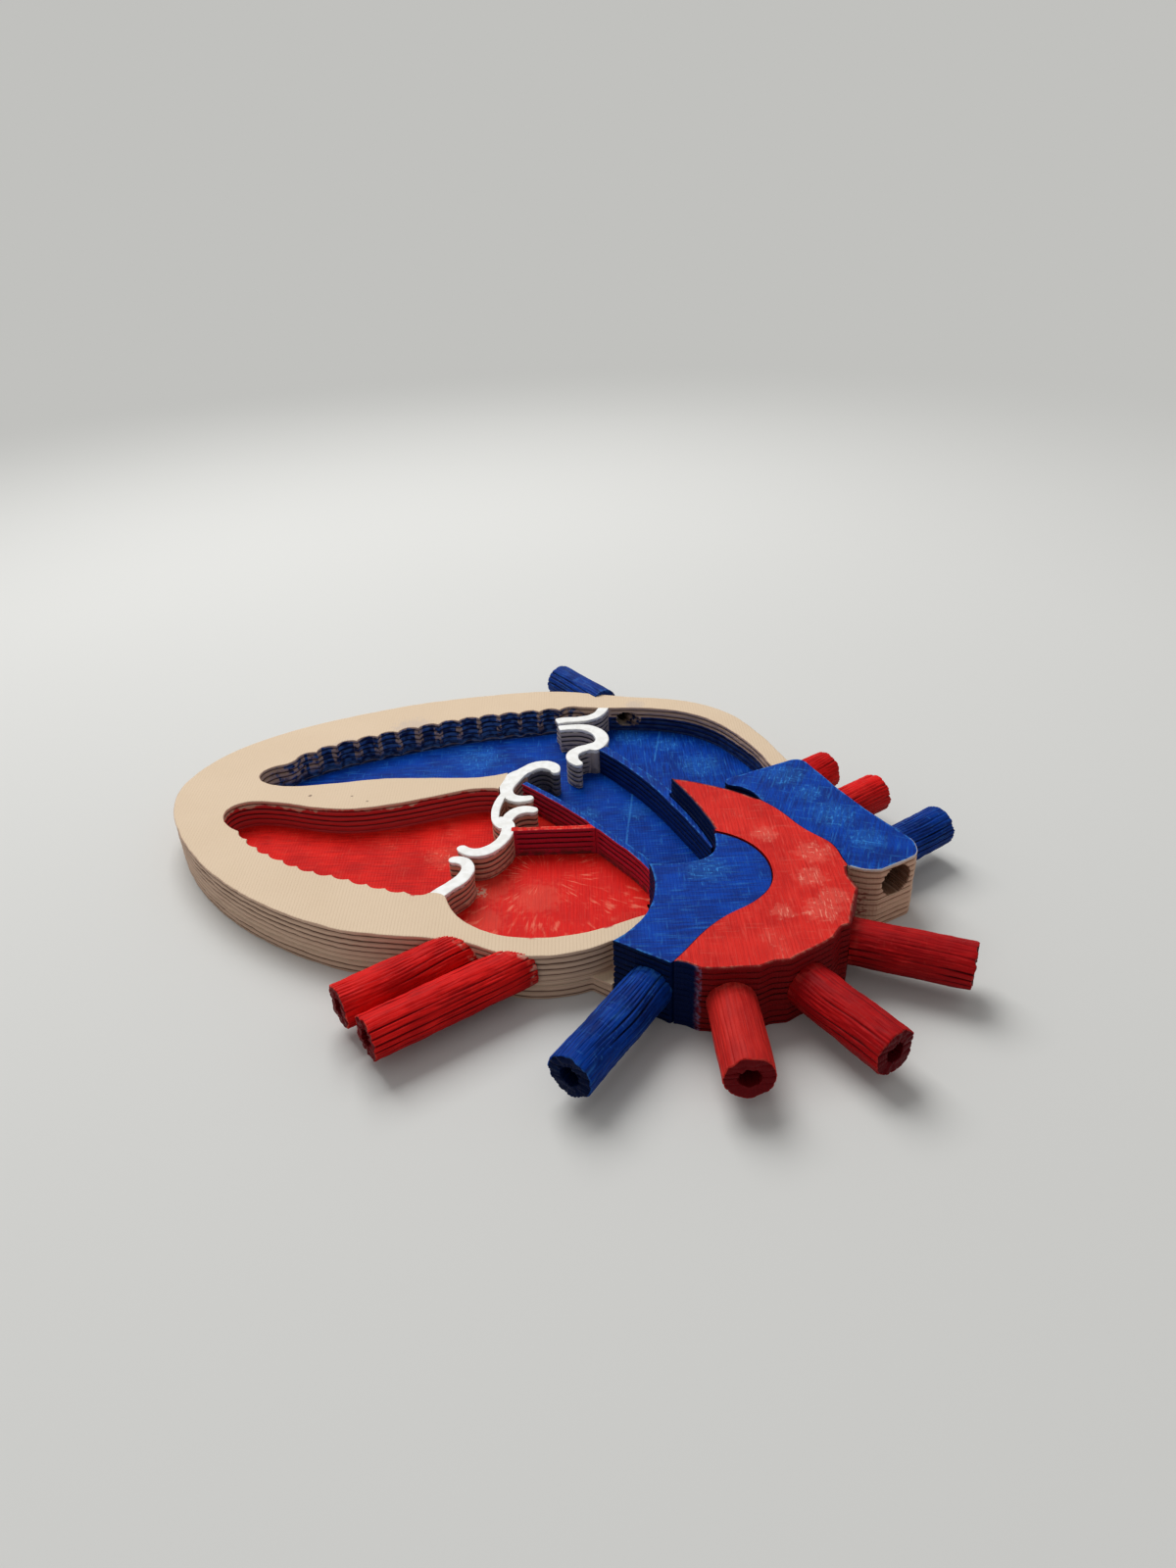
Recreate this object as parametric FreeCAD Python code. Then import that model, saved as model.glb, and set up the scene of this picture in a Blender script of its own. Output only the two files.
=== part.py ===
import FreeCAD, Part
import os

os.makedirs("parts", exist_ok=True)

# A thick flat model of a human heart, cut open from the front, that lies on its back.
# Frame: origin on the flat back, under the point where the valves meet. X towards the
# heart's own left, Y towards the head, Z out of the cut front. Millimetres.

# ---------------------------------------------------------------- plan
# The outlines are drawn on a grid that spans the whole model, vessel tubes included.
plan_width = 132.0
plan_length = 147.0
grid_columns = 132
grid_rows = 147
square_x = plan_width / grid_columns
square_y = plan_length / grid_rows

# ---------------------------------------------------------------- heights
slab_top = 9.7          # front face of the heart wall
floor_top = 3.6         # coloured floors of the chambers
floor_thickness = 0.8
aorta_top = 13.6
pulmonary_top = 13.3
cava_top = 13.4
floor_bed = floor_top - floor_thickness

# ---------------------------------------------------------------- clearances
seam = 0.3              # gap round each great vessel block
ridge_clearance = 0.5   # from the ridges of a chamber wall to the edge of its floor
far = 60.0              # reach of the cutting tools, past every face
arc_fit = 0.25          # how far an arc may leave the smooth line it follows

# ---------------------------------------------------------------- tubes
tube_axis = 6.6         # height of the tube axes above the back
left_vein_axis = 6.2    # left lung veins lie a little lower
branch_radius = 4.2     # tubes that leave the aorta
tube_radius = 4.1
left_vein_radius = 4.0
tube_bore = 1.7
cava_bore = 3.2         # open bore of the superior vena cava
cava_bore_axis = 9.5
mouth_bore = 1.9        # mouth of the inferior vena cava in the right atrium

# ---------------------------------------------------------------- walls
outflow_wall = 1.5
root_wall = 1.4
ring_wall = 1.5
leaflet = 2.3           # valve flaps, before their thicker places

# ---------------------------------------------------------------- trabeculae
right_lobes = 14
right_lobe_depth = 1.3
left_lobes = 12
left_lobe_depth = 0.75


def vec(point, z=0.0):
    """Place of a point of the drawing grid."""
    return FreeCAD.Vector(point[0] * square_x, point[1] * square_y, z)


def plan(points):
    return [vec(point) for point in points]


def spline(places):
    curve = Part.BSplineCurve()
    curve.interpolate(places)
    return curve


def arcs(places):
    """Run of tangent arcs that keeps close to a smooth line through the places."""
    return [arc.toShape() for arc in spline(places).toBiArcs(arc_fit)]


def smooth(points):
    return arcs(plan(points))


def straight(points):
    return [Part.makeLine(vec(a), vec(b)) for a, b in zip(points, points[1:])]


def face(edges):
    return Part.Face(Part.Wire(edges))


def prism(outline, low, high):
    """Upright solid on a flat outline."""
    solid = outline.extrude(FreeCAD.Vector(0, 0, high - low))
    solid.translate(FreeCAD.Vector(0, 0, low))
    return solid


def grown(outline, gap):
    """The outline moved outwards by the gap."""
    return Part.Face(outline.OuterWire.makeOffset2D(gap))


def beside(points, shifts):
    """Places spread evenly on a smooth line, each moved to its right by its own shift."""
    line = spline(plan(points)).toShape().discretize(Number=len(shifts))
    moved = []
    for k, shift in enumerate(shifts):
        along = (line[min(k + 1, len(line) - 1)] - line[max(k - 1, 0)]).normalize()
        moved.append(line[k] + FreeCAD.Vector(along.y, -along.x, 0) * shift)
    return moved


def lobed(points, lobes, depth):
    """Arcs, one for each lobe, that bulge from a smooth line and meet in sharp ridges."""
    shifts = [0] + [depth / 2, -depth / 2] * (lobes - 1) + [depth / 2, 0]
    places = beside(points, shifts)
    lobe_places = zip(places[::2], places[1::2], places[2::2])
    return [Part.Arc(*three).toShape() for three in lobe_places]


def clear_of_ridges(points, depth):
    """Smooth edge that passes in front of the ridges."""
    back = -(depth / 2 + ridge_clearance)
    return arcs(beside(points, [0, back, back, back, back, back, 0]))


def ribbon(path, widths, low, high, round_start=True, round_end=True):
    """Upright wall that follows a centre line, with its width at each point."""
    places = plan(path)
    line = spline(places)
    left = []
    right = []
    for place, width in zip(places, widths):
        along = line.tangent(line.parameter(place))[0]
        side = FreeCAD.Vector(-along.y, along.x, 0) * (width / 2)
        left.append(place + side)
        right.append(place - side)
    first = line.tangent(line.FirstParameter)[0]
    last = line.tangent(line.LastParameter)[0]
    edges = arcs(left)
    if round_end:
        tip = places[-1] + last * (widths[-1] / 2)
        edges.append(Part.Arc(left[-1], tip, right[-1]).toShape())
    else:
        edges.append(Part.makeLine(left[-1], right[-1]))
    edges += arcs(right[::-1])
    if round_start:
        tip = places[0] - first * (widths[0] / 2)
        edges.append(Part.Arc(right[0], tip, left[0]).toShape())
    else:
        edges.append(Part.makeLine(right[0], left[0]))
    return prism(face(edges), low, high)


def wall(path, widths, round_start=True, round_end=True):
    """Ribbon that stands on the chamber floors."""
    return ribbon(path, widths, floor_top, slab_top, round_start, round_end)


def flap(path, swell, round_start=True, round_end=True):
    """Valve flap: a wall of one thickness, plus what it swells by at each point."""
    return wall(path, [leaflet + more for more in swell], round_start, round_end)


def rod(end, root, radius, height):
    """Cylinder lying flat, from its outer end to its root in the heart."""
    way = vec(root) - vec(end)
    return Part.makeCylinder(radius, way.Length, vec(end, height), way)


def trim(shape, others):
    for other in others:
        shape = shape.cut(other)
    return shape


def largest(shape):
    """The main solid of a shape that a cut has left in several."""
    return max(shape.Solids, key=lambda s: s.Volume)


def tube(end, root, radius, height, parents):
    """Vessel tube with its root shaped to the pieces it grows from."""
    bore = rod(end, root, tube_bore, height)
    return largest(trim(rod(end, root, radius, height), [bore] + parents))


def save(shape, name):
    shape.exportStep("parts/" + name + ".step")


# ---------------------------------------------------------------- vessel blocks
aorta_outline = face(
    smooth([(4.6, 67.8), (0.7, 66.2), (-4.3, 64.1), (-13.9, 62.2), (-18.4, 61.4),
            (-22.2, 58.1), (-24.8, 53.9), (-25.4, 49.5), (-22.2, 41.2)])
    + smooth([(-22.2, 41.2), (-23.7, 34.6), (-25.2, 21.6)])
    + straight([(-25.2, 21.6), (-25.6, 20.6)])
    + smooth([(-25.6, 20.6), (-28.9, 24.6), (-36.4, 41.0), (-36.7, 50.6), (-37.5, 56.8),
              (-36.3, 60.3), (-35.8, 62.3)])
    + straight([(-35.8, 62.3), (-34.0, 64.8), (-32.9, 68.8), (-28.6, 72.5), (-25.3, 75.6),
                (-23.6, 75.4), (-20.6, 76.9), (-11.4, 77.5), (-8.8, 76.3), (-6.1, 76.3),
                (-2.1, 74.0), (0.4, 72.8), (2.1, 71.5), (3.2, 69.4), (4.6, 67.8)]))

pulmonary_outline = face(
    straight([(-23.2, 40.2), (-24.0, 44.0), (-20.0, 64.0), (1.0, 67.8), (5.2, 67.6),
              (10.2, 57.9)])
    + smooth([(10.2, 57.9), (5.9, 57.0), (-0.8, 53.2), (-3.8, 49.2), (-6.2, 42.8)])
    + smooth([(-6.2, 42.8), (-8.9, 44.7), (-12.4, 46.2), (-16.0, 46.9), (-18.6, 45.6),
              (-21.5, 41.6)])
    + straight([(-21.5, 41.6), (-23.2, 40.2)]))

cava_outline = face(
    smooth([(-35.2, 60.0), (-36.6, 64.0), (-40.0, 66.8)])
    + straight([(-40.0, 66.8), (-48.0, 66.8)])
    + smooth([(-48.0, 66.8), (-50.4, 65.0), (-51.2, 61.0)])
    + straight([(-51.2, 61.0), (-51.0, 50.0), (-51.7, 39.9), (-52.9, 30.0)])
    + smooth([(-52.9, 30.0), (-52.2, 28.3), (-50.3, 27.8)])
    + straight([(-50.3, 27.8), (-35.4, 26.8)])
    + smooth([(-35.4, 26.8), (-34.0, 27.6), (-34.3, 29.2), (-35.6, 32.0), (-36.2, 36.0)])
    + straight([(-36.2, 36.0), (-35.2, 60.0)]))

aorta = prism(aorta_outline, 0, aorta_top)
around_aorta = prism(grown(aorta_outline, seam), -far, far)
around_pulmonary = prism(grown(pulmonary_outline, seam), -far, far)
around_cava = prism(grown(cava_outline, seam), -far, far)
vessels_around = [around_aorta, around_pulmonary, around_cava]
pulmonary_trunk = largest(prism(pulmonary_outline, 0, pulmonary_top).cut(around_aorta))
cava_block = largest(prism(cava_outline, 0, cava_top).cut(around_aorta))
cava_lumen = rod((-44.0, 75.0), (-44.0, 20.0), cava_bore, cava_bore_axis)
superior_vena_cava = cava_block.cut(cava_lumen)

# ---------------------------------------------------------------- heart wall
slab_outline = face(
    smooth([(8.0, 54.3), (12.3, 54.1), (20.5, 51.3), (27.4, 45.0), (29.8, 41.4),
            (31.7, 39.5), (40.5, 32.5), (46.0, 27.9), (50.8, 22.0), (62.4, -1.5),
            (65.3, -21.0), (64.8, -29.5), (62.2, -37.0), (57.0, -42.9), (49.0, -47.6),
            (39.0, -49.8), (28.0, -50.2), (14.0, -48.7), (0.0, -45.7), (-14.0, -40.7),
            (-26.5, -34.8), (-44.0, -19.0), (-51.0, -12.7), (-55.1, -5.0), (-56.5, 4.0),
            (-56.0, 13.0), (-54.3, 22.0)])
    + straight([(-54.3, 22.0), (-53.2, 29.0), (-50.0, 34.0), (-30.0, 45.0), (-10.0, 52.0),
                (0.0, 58.5), (8.0, 57.6), (8.0, 54.3)]))
# low wedge of wall that is left standing beside the pulmonary trunk
ledge_outline = face(straight([(7.6, 53.0), (12.3, 54.1), (10.2, 58.5), (7.6, 58.5),
                               (7.6, 53.0)]))

# wall line shared by the right outflow tract and the left chambers
outflow_line = [(-2.0, 0.2), (-5.2, 12.5), (-6.7, 20.5), (-8.0, 31.0), (-8.6, 38.0),
                (-8.2, 41.6), (-7.0, 45.0)]
septum_tip = (0.8, -3.4)

right_free_wall = [(-28.5, -23.6), (-20.0, -26.9), (-10.0, -30.9), (5.0, -35.0),
                   (20.0, -37.4), (29.0, -38.0), (36.5, -36.6)]
left_free_wall = [(54.6, -14.6), (54.3, -10.5), (50.2, 0.2), (46.4, 6.6), (42.6, 11.3),
                  (38.6, 16.6), (30.6, 25.0)]


def right_chambers(free_wall):
    """Outline of the right atrium and ventricle, with the free wall's edge as given."""
    return face(
        straight([(-49.3, 28.5), (-49.3, 27.0)])
        + smooth([(-49.3, 27.0), (-50.0, 22.0), (-51.4, 15.0), (-51.6, 6.0), (-50.6, -1.8),
                  (-48.0, -7.4), (-42.8, -13.2), (-34.8, -18.8), (-28.5, -23.6)])
        + free_wall
        + smooth([(36.5, -36.6), (38.6, -36.0), (41.0, -36.3), (43.6, -35.7), (45.6, -33.6),
                  (45.5, -30.9), (43.4, -28.0), (38.0, -24.6), (30.0, -21.0), (22.0, -17.8),
                  (15.0, -13.3), (7.0, -8.3), (2.0, -6.1), (-0.9, -5.5)])
        + straight([(-0.9, -5.5), septum_tip, outflow_line[0]])
        + smooth(outflow_line)
        + straight([outflow_line[-1], (-20.0, 50.0), (-30.0, 42.0), (-40.0, 34.0),
                    (-49.3, 28.5)]))


def left_chambers(free_wall):
    """Outline of the left atrium and ventricle, with the free wall's edge as given."""
    return face(
        smooth([(3.7, -0.6), (7.0, -2.7), (11.0, -4.0), (24.0, -6.8), (31.0, -9.1),
                (37.0, -12.9), (46.5, -22.0), (50.0, -24.4), (53.2, -24.9), (55.7, -22.6),
                (56.2, -19.0), (54.6, -14.6)])
        + free_wall
        + smooth([(30.6, 25.0), (28.0, 26.4), (27.3, 28.4), (27.9, 31.5), (27.7, 35.0),
                  (26.2, 39.2), (19.6, 46.1), (10.0, 50.0), (4.0, 50.9), (-4.0, 51.4)])
        + straight([(-4.0, 51.4), outflow_line[-1]])
        + smooth(outflow_line[::-1])
        + straight([outflow_line[0], septum_tip, (3.7, -0.6)]))


right_pocket_outline = right_chambers(lobed(right_free_wall, right_lobes, right_lobe_depth))
right_floor_outline = right_chambers(clear_of_ridges(right_free_wall, right_lobe_depth))
left_pocket_outline = left_chambers(lobed(left_free_wall, left_lobes, left_lobe_depth))
left_floor_outline = left_chambers(clear_of_ridges(left_free_wall, left_lobe_depth))

lower_cava_end = (-34.1, -44.5)
lower_cava_root = (-36.6, -26.2)
middle_of_right_atrium = (-40.0, -2.0)

slab = prism(slab_outline, 0, slab_top)
slab = slab.fuse(prism(ledge_outline, 0, floor_top)).removeSplitter()
pockets = [prism(right_pocket_outline, floor_top, far), prism(left_pocket_outline, floor_top, far)]
beds = [prism(right_floor_outline, floor_bed, far), prism(left_floor_outline, floor_bed, far)]
heart_wall = largest(trim(slab, vessels_around + pockets + beds)).removeSplitter()
cava_mouth = rod(lower_cava_end, middle_of_right_atrium, mouth_bore, tube_axis)
heart_body = largest(heart_wall.cut(cava_mouth))

# ---------------------------------------------------------------- chamber floors
# Each pocket is parted under its valve, atrium to the head side of the line.
right_atrium_side = prism(face(straight(
    [(-33.5, -26.0), (-32.6, -19.2), (-27.2, -17.4), (-26.4, -12.0), (-25.8, -8.0),
     (-23.6, -4.4), (-24.4, 6.0), (-24.9, 20.0), (-24.9, 60.0), (-70.0, 60.0),
     (-70.0, -26.0), (-33.5, -26.0)])), -far, far)
left_atrium_side = prism(face(straight(
    [(31.0, 28.5), (26.0, 25.6), (21.3, 23.2), (20.4, 20.0), (21.5, 18.0), (19.3, 15.8),
     (18.3, 16.8), (15.0, 18.6), (12.0, 17.4), (9.0, 15.3), (7.0, 15.2), (-6.6, 22.3),
     (-20.0, 22.0), (-20.0, 60.0), (31.0, 60.0), (31.0, 28.5)])), -far, far)


def floor(outline):
    return trim(prism(outline, floor_bed, floor_top), vessels_around)


right_floor = floor(right_floor_outline)
left_floor = floor(left_floor_outline)
right_atrium_floor = largest(right_floor.common(right_atrium_side))
right_ventricle_floor = largest(right_floor.cut(right_atrium_side))
left_atrium_floor = largest(left_floor.common(left_atrium_side))
left_ventricle_floor = largest(left_floor.cut(left_atrium_side))

# ---------------------------------------------------------------- walls between chambers
outflow_septum = wall(outflow_line, [outflow_wall] * len(outflow_line), False, False)
outflow_septum = trim(outflow_septum, [around_pulmonary])
atrial_root_wall = wall([(-7.0, 22.9), (0.5, 18.8), (8.0, 14.6)], [root_wall] * 3, False, False)
atrial_root_wall = atrial_root_wall.cut(outflow_septum)
conus_wall = prism(face(
    smooth([(-22.2, -3.2), (-23.8, 17.0), (-22.5, 34.0), (-21.5, 41.0)])
    + straight([(-21.5, 41.0), (-23.5, 42.0), (-26.6, 24.0)])
    + smooth([(-26.6, 24.0), (-26.3, 14.0), (-24.5, -3.6)])
    + straight([(-24.5, -3.6), (-22.2, -3.2)])), floor_top, slab_top)
conus_wall = largest(trim(conus_wall, [around_aorta, around_pulmonary]))

# ---------------------------------------------------------------- valves
valve_crux = flap([(-3.4, -3.9), (-1.2, -3.0), (0.6, -1.2), (2.4, 0.9), (3.2, 2.6)],
                  [0.4, 1.3, 1.3, 0.5, -0.1])
valve_crux = largest(trim(valve_crux, [heart_body, outflow_septum]))
pulmonary_medial = flap([(-9.9, -0.6), (-10.2, -2.6), (-9.3, -4.3), (-7.4, -4.9),
                         (-5.2, -4.6), (-3.0, -3.8)],
                        [-0.4, 0.4, 0.5, 0.6, 0.5, 0.4])
pulmonary_medial = largest(trim(pulmonary_medial, [valve_crux, heart_body, outflow_septum]))
aortic_ring = wall([(2.6, 1.3), (5.0, 3.2), (7.0, 5.6), (8.6, 8.2), (9.3, 10.4), (9.0, 12.8)],
                   [ring_wall] * 6)
aortic_ring = largest(trim(aortic_ring, [valve_crux, heart_body]))
aortic_lower = flap([(-0.2, 6.1), (1.5, 5.4), (2.7, 3.9), (2.6, 1.8)], [-0.4, -0.1, 0, 0])
aortic_lower = largest(trim(aortic_lower, [valve_crux, aortic_ring]))
mitral_anterior = flap([(8.3, 10.4), (8.0, 13.4), (9.8, 15.9), (12.2, 17.6), (15.2, 18.6),
                        (17.4, 17.9), (18.6, 16.4), (18.9, 15.3)],
                       [-0.1, 0.7, 0.1, 0, 0.2, 0.1, -0.2, -0.4])
mitral_anterior = largest(trim(mitral_anterior, [aortic_ring, atrial_root_wall]))
aortic_upper = flap([(1.1, 10.6), (2.4, 9.4), (4.2, 8.8), (6.0, 9.4), (7.4, 11.0), (8.2, 13.0)],
                    [-0.4, 0, 0.2, 0, -0.1, -0.1])
aortic_upper = largest(trim(aortic_upper, [aortic_ring, mitral_anterior]))
mitral_posterior = flap([(29.0, 26.6), (26.4, 25.5), (23.6, 24.5), (21.2, 22.9), (20.3, 20.8),
                         (20.6, 19.0), (21.8, 17.9)],
                        [0.7, 0.3, 0.2, 0.1, 0, -0.1, -0.3])
mitral_posterior = largest(mitral_posterior.cut(heart_body))
tricuspid_septal = flap([(-19.6, -17.0), (-22.2, -16.0), (-24.6, -14.3), (-26.0, -11.4),
                         (-25.7, -8.2), (-24.2, -6.0), (-22.2, -5.0)],
                        [-0.2, -0.1, 0.2, 0.5, 0.6, 0.7, 0.9], False, True)
tricuspid_septal = largest(tricuspid_septal.cut(conus_wall))
pulmonary_lateral = flap([(-24.0, -5.2), (-20.4, -5.7), (-17.8, -5.6), (-16.0, -4.5),
                          (-15.4, -2.6), (-15.6, -0.7)],
                         [0.7, 0.3, 0.3, 0.3, 0, -0.4])
pulmonary_lateral = largest(trim(pulmonary_lateral, [tricuspid_septal, conus_wall]))
tricuspid_lateral = flap([(-34.4, -21.4), (-32.2, -19.2), (-29.8, -17.9), (-27.4, -17.8),
                          (-24.8, -18.7), (-20.7, -20.3)],
                         [0.9, 0, 0, 0, 0, 0], True, False)
tricuspid_lateral = largest(tricuspid_lateral.cut(heart_body))

# ---------------------------------------------------------------- tubes
# name: outer end, root
aorta_branches = {
    "brachiocephalic_trunk": ((-41.4, 88.6), (-25.0, 68.4)),
    "left_carotid_artery": ((-16.8, 96.2), (-14.8, 72.3)),
    "left_subclavian_artery": ((5.0, 88.9), (-4.8, 69.2)),
}
cava_side_tubes = {
    "right_pulmonary_artery": ((-66.6, 55.0), (-47.7, 56.9)),
    "right_upper_pulmonary_vein": ((-64.9, 39.2), (-48.0, 40.9)),
    "right_lower_pulmonary_vein": ((-62.4, 26.5), (-51.8, 27.6)),
}
left_veins = {
    "left_upper_pulmonary_vein": ((51.4, 50.5), (21.5, 47.9)),
    "left_lower_pulmonary_vein": ((52.9, 41.3), (27.0, 39.0)),
}
above_slab = prism(slab_outline, -far, far)

parts = {
    "heart_body": heart_body,
    "right_atrium_floor": right_atrium_floor,
    "right_ventricle_floor": right_ventricle_floor,
    "left_atrium_floor": left_atrium_floor,
    "left_ventricle_floor": left_ventricle_floor,
    "conus_wall": conus_wall,
    "outflow_septum": outflow_septum,
    "atrial_root_wall": atrial_root_wall,
    "valve_crux": valve_crux,
    "tricuspid_lateral_leaflet": tricuspid_lateral,
    "tricuspid_septal_leaflet": tricuspid_septal,
    "pulmonary_medial_cusp": pulmonary_medial,
    "pulmonary_lateral_cusp": pulmonary_lateral,
    "aortic_lower_cusp": aortic_lower,
    "aortic_upper_cusp": aortic_upper,
    "aortic_ring_wall": aortic_ring,
    "mitral_anterior_leaflet": mitral_anterior,
    "mitral_posterior_leaflet": mitral_posterior,
    "aorta": aorta,
    "pulmonary_trunk": pulmonary_trunk,
    "superior_vena_cava": superior_vena_cava,
    "left_pulmonary_artery": tube((27.8, 74.6), (4.5, 63.1), tube_radius, tube_axis,
                                  [pulmonary_trunk, around_aorta]),
    "inferior_vena_cava": tube(lower_cava_end, lower_cava_root, tube_radius, tube_axis,
                               [heart_wall]),
}
for name, (end, root) in aorta_branches.items():
    parts[name] = tube(end, root, branch_radius, tube_axis, [aorta])
for name, (end, root) in cava_side_tubes.items():
    parts[name] = tube(end, root, tube_radius, tube_axis, [cava_block, above_slab])
for name, (end, root) in left_veins.items():
    parts[name] = tube(end, root, left_vein_radius, left_vein_axis, [above_slab])

for name, shape in parts.items():
    save(shape, name)
    print(name, len(shape.Solids), round(shape.Volume, 1), shape.isValid())
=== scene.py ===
import math
from functools import reduce

import bpy
import numpy as np
from mathutils import Matrix, Vector
from mathutils.geometry import delaunay_2d_cdt


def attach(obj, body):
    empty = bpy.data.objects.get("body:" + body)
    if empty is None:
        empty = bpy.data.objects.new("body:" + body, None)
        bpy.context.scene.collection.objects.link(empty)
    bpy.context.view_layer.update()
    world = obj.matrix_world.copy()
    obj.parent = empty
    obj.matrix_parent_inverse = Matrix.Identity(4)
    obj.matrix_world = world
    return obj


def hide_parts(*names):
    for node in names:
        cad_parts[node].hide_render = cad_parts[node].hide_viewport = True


# A thick flat teaching model of a human heart, cut open from the front, printed in layers and
# painted by hand. Every piece stands for one node of the frame and is worked out from that
# node's own cross-sections. The print layers, rounded edges, grooves and worn paint are added.
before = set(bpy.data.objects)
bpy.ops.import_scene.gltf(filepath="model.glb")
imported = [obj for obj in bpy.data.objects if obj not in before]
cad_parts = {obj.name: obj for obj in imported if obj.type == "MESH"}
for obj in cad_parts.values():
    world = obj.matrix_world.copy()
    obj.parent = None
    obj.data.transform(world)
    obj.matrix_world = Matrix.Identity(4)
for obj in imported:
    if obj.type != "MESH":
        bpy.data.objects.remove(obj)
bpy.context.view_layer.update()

# Lengths in this script are millimetres until a mesh is made.
MM = 0.001

# ---------------------------------------------------------------- print layers
FIRST_LAYER = 0.45      # squashed against the print bed
LAYER = 1.2
STEP = 0.5              # along an outline, from one point to the next
# How deep the groove under each layer is, from the bed upwards.
GROOVES = (0.26, 0.28, 0.2, 0.14, 0.24, 0.32, 0.36, 0.26, 0.26, 0.26, 0.26, 0.26)
BEAD = (0.0, 0.06, 0.16, 0.32, 0.68, 0.84, 0.94)   # heights in a layer where its edge is drawn
RIM = 0.18              # rounding of the top and bottom edges
RIM_STEPS = (0.05, 0.11)    # depths in the rounding where it is drawn
LAYER_MARGIN = 0.16     # clear of layer edges, at the ends of a run of height
THIN_MARGIN = 0.07      # the same in a thin run
WEAR_AND_HIGHLIGHT_HEIGHT = 1.2 * RIM     # height of the paler edge under a top face: worn paint and painted highlight
WOBBLE = 0.06           # mean unevenness of a printed wall
TOP_WAVE = 0.035        # depth of the brushed unevenness of a top face
TOP_PITCH = 1.1         # between the corners of a top face
TOP_ROW = 0.87 * TOP_PITCH  # between their staggered rows
TOP_WAVE_LENGTH = 4.0
EDGE_BAND = 0.4         # width of the paler edge of a top face: worn paint and painted highlight
OVERHANG = 0.13         # thick paint on the top layer of a valve flap
OVERHANG_RISE = 0.3     # height over which it grows to its full width
SLICE = 0.3             # height steps where an outline changes with height
THINNEST = 0.05         # lower stretches of wall are passed over
SLIVER = 0.5            # shorter outlines are left out
SMALL_FLAT = 4.0        # area of the smallest flat face that ends a run of height
SAME = 0.02             # places and heights nearer than this are taken as one
CROWDED = 0.55          # points nearer than this share of their pitch are left out
FAR = 1e9
TINY = 1e-6
BATCH = 200             # places measured against each other at a time
START_WAY = (0.937, 0.349)  # an outline starts at its furthest corner this way
SHARP_ANGLE = 50.0      # degrees between faces, past which their edge is sharp

VESSEL_SEAM = 0.3       # between two vessel blocks
HOLLOW = 4.0            # widest gap between two vessel blocks that is filled
JOINT = 0.42            # walls nearer to another piece than this stay shut
JOINT_FADE = 0.3
LOOK = 1.2              # how far out of a wall its chamber is sought
RIDGE_GAP = (0.2, 1.0)  # from the floor's edge to the ridges of a lobed wall
SLAB_TOP = 9.7
FLOOR_TOP = 3.6
FLOOR_LEVEL = FLOOR_TOP - 0.1   # where the floors' outlines are taken
RIGHT_FLOORS = ("right_atrium_floor", "right_ventricle_floor")
LEFT_FLOORS = ("left_atrium_floor", "left_ventricle_floor")
STOREYS = ((0.0, FLOOR_TOP), (FLOOR_TOP, SLAB_TOP), (SLAB_TOP, 14.0))
BLUE_TUBES = ("left_pulmonary_artery", "right_pulmonary_artery", "inferior_vena_cava")
RED_TUBES = ("brachiocephalic_trunk", "left_carotid_artery", "left_subclavian_artery",
             "right_upper_pulmonary_vein", "right_lower_pulmonary_vein")
SLAB_VEINS = ("left_upper_pulmonary_vein", "left_lower_pulmonary_vein")
FLAPS = ("valve_crux", "tricuspid_lateral_leaflet", "tricuspid_septal_leaflet",
         "pulmonary_medial_cusp", "pulmonary_lateral_cusp", "aortic_lower_cusp",
         "aortic_upper_cusp", "aortic_ring_wall", "mitral_anterior_leaflet",
         "mitral_posterior_leaflet")
# What each corner of a piece is marked with: a side wall, a wall that looks onto a right or a left
# chamber, a ridge of a lobed wall, the groove between two layers, which is painted darker as painted
# shade, and an edge that is painted paler as worn paint and painted highlight.
MARKS = ("wall", "blue", "red", "crest", "groove", "edge")
ON_WALL, ON_BLUE, ON_RED, ON_CREST, IN_GROOVE, ON_EDGE = range(len(MARKS))
WAVES = 7               # sine waves in a ripple


def ripple(places, size, seed):
    """Smooth noise about zero: a sum of sine waves of about that length, in seeded directions."""
    rng = np.random.default_rng(seed)
    total = np.zeros(len(places))
    for _ in range(WAVES):
        way = rng.normal(size=places.shape[1])
        way *= 2 * math.pi / (size * np.linalg.norm(way) * rng.uniform(0.6, 1.7))
        total += np.sin(places @ way + rng.uniform(0, 2 * math.pi))
    return total / math.sqrt(WAVES / 2)


def wobble(places, seed):
    """Unevenness of a printed edge, from 0 to about 2 and slower along the layers than across."""
    places = places * (1, 1, 2.6)
    wave = ripple(places, 7.0, seed) * 0.6 + ripple(places, 2.2, seed + 1) * 0.4
    return np.clip(1 + wave, 0, None)


# ---------------------------------------------------------------- cross-sections of a CAD node
def proper(triangles):
    """The triangles that have three different corners."""
    return triangles[(np.diff(np.sort(triangles, axis=1), axis=1) > 0).all(1)]


def solid_of(node):
    """The node's corners in millimetres, each once, and its triangles."""
    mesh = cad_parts[node].data
    mesh.calc_loop_triangles()
    corners = np.empty(len(mesh.vertices) * 3)
    mesh.vertices.foreach_get("co", corners)
    triangles = np.empty(len(mesh.loop_triangles) * 3, int)
    mesh.loop_triangles.foreach_get("vertices", triangles)
    corners, same = np.unique(np.round(corners.reshape(-1, 3) / MM, 4), axis=0, return_inverse=True)
    return corners, proper(same.reshape(-1)[triangles].reshape(-1, 3))


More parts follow.
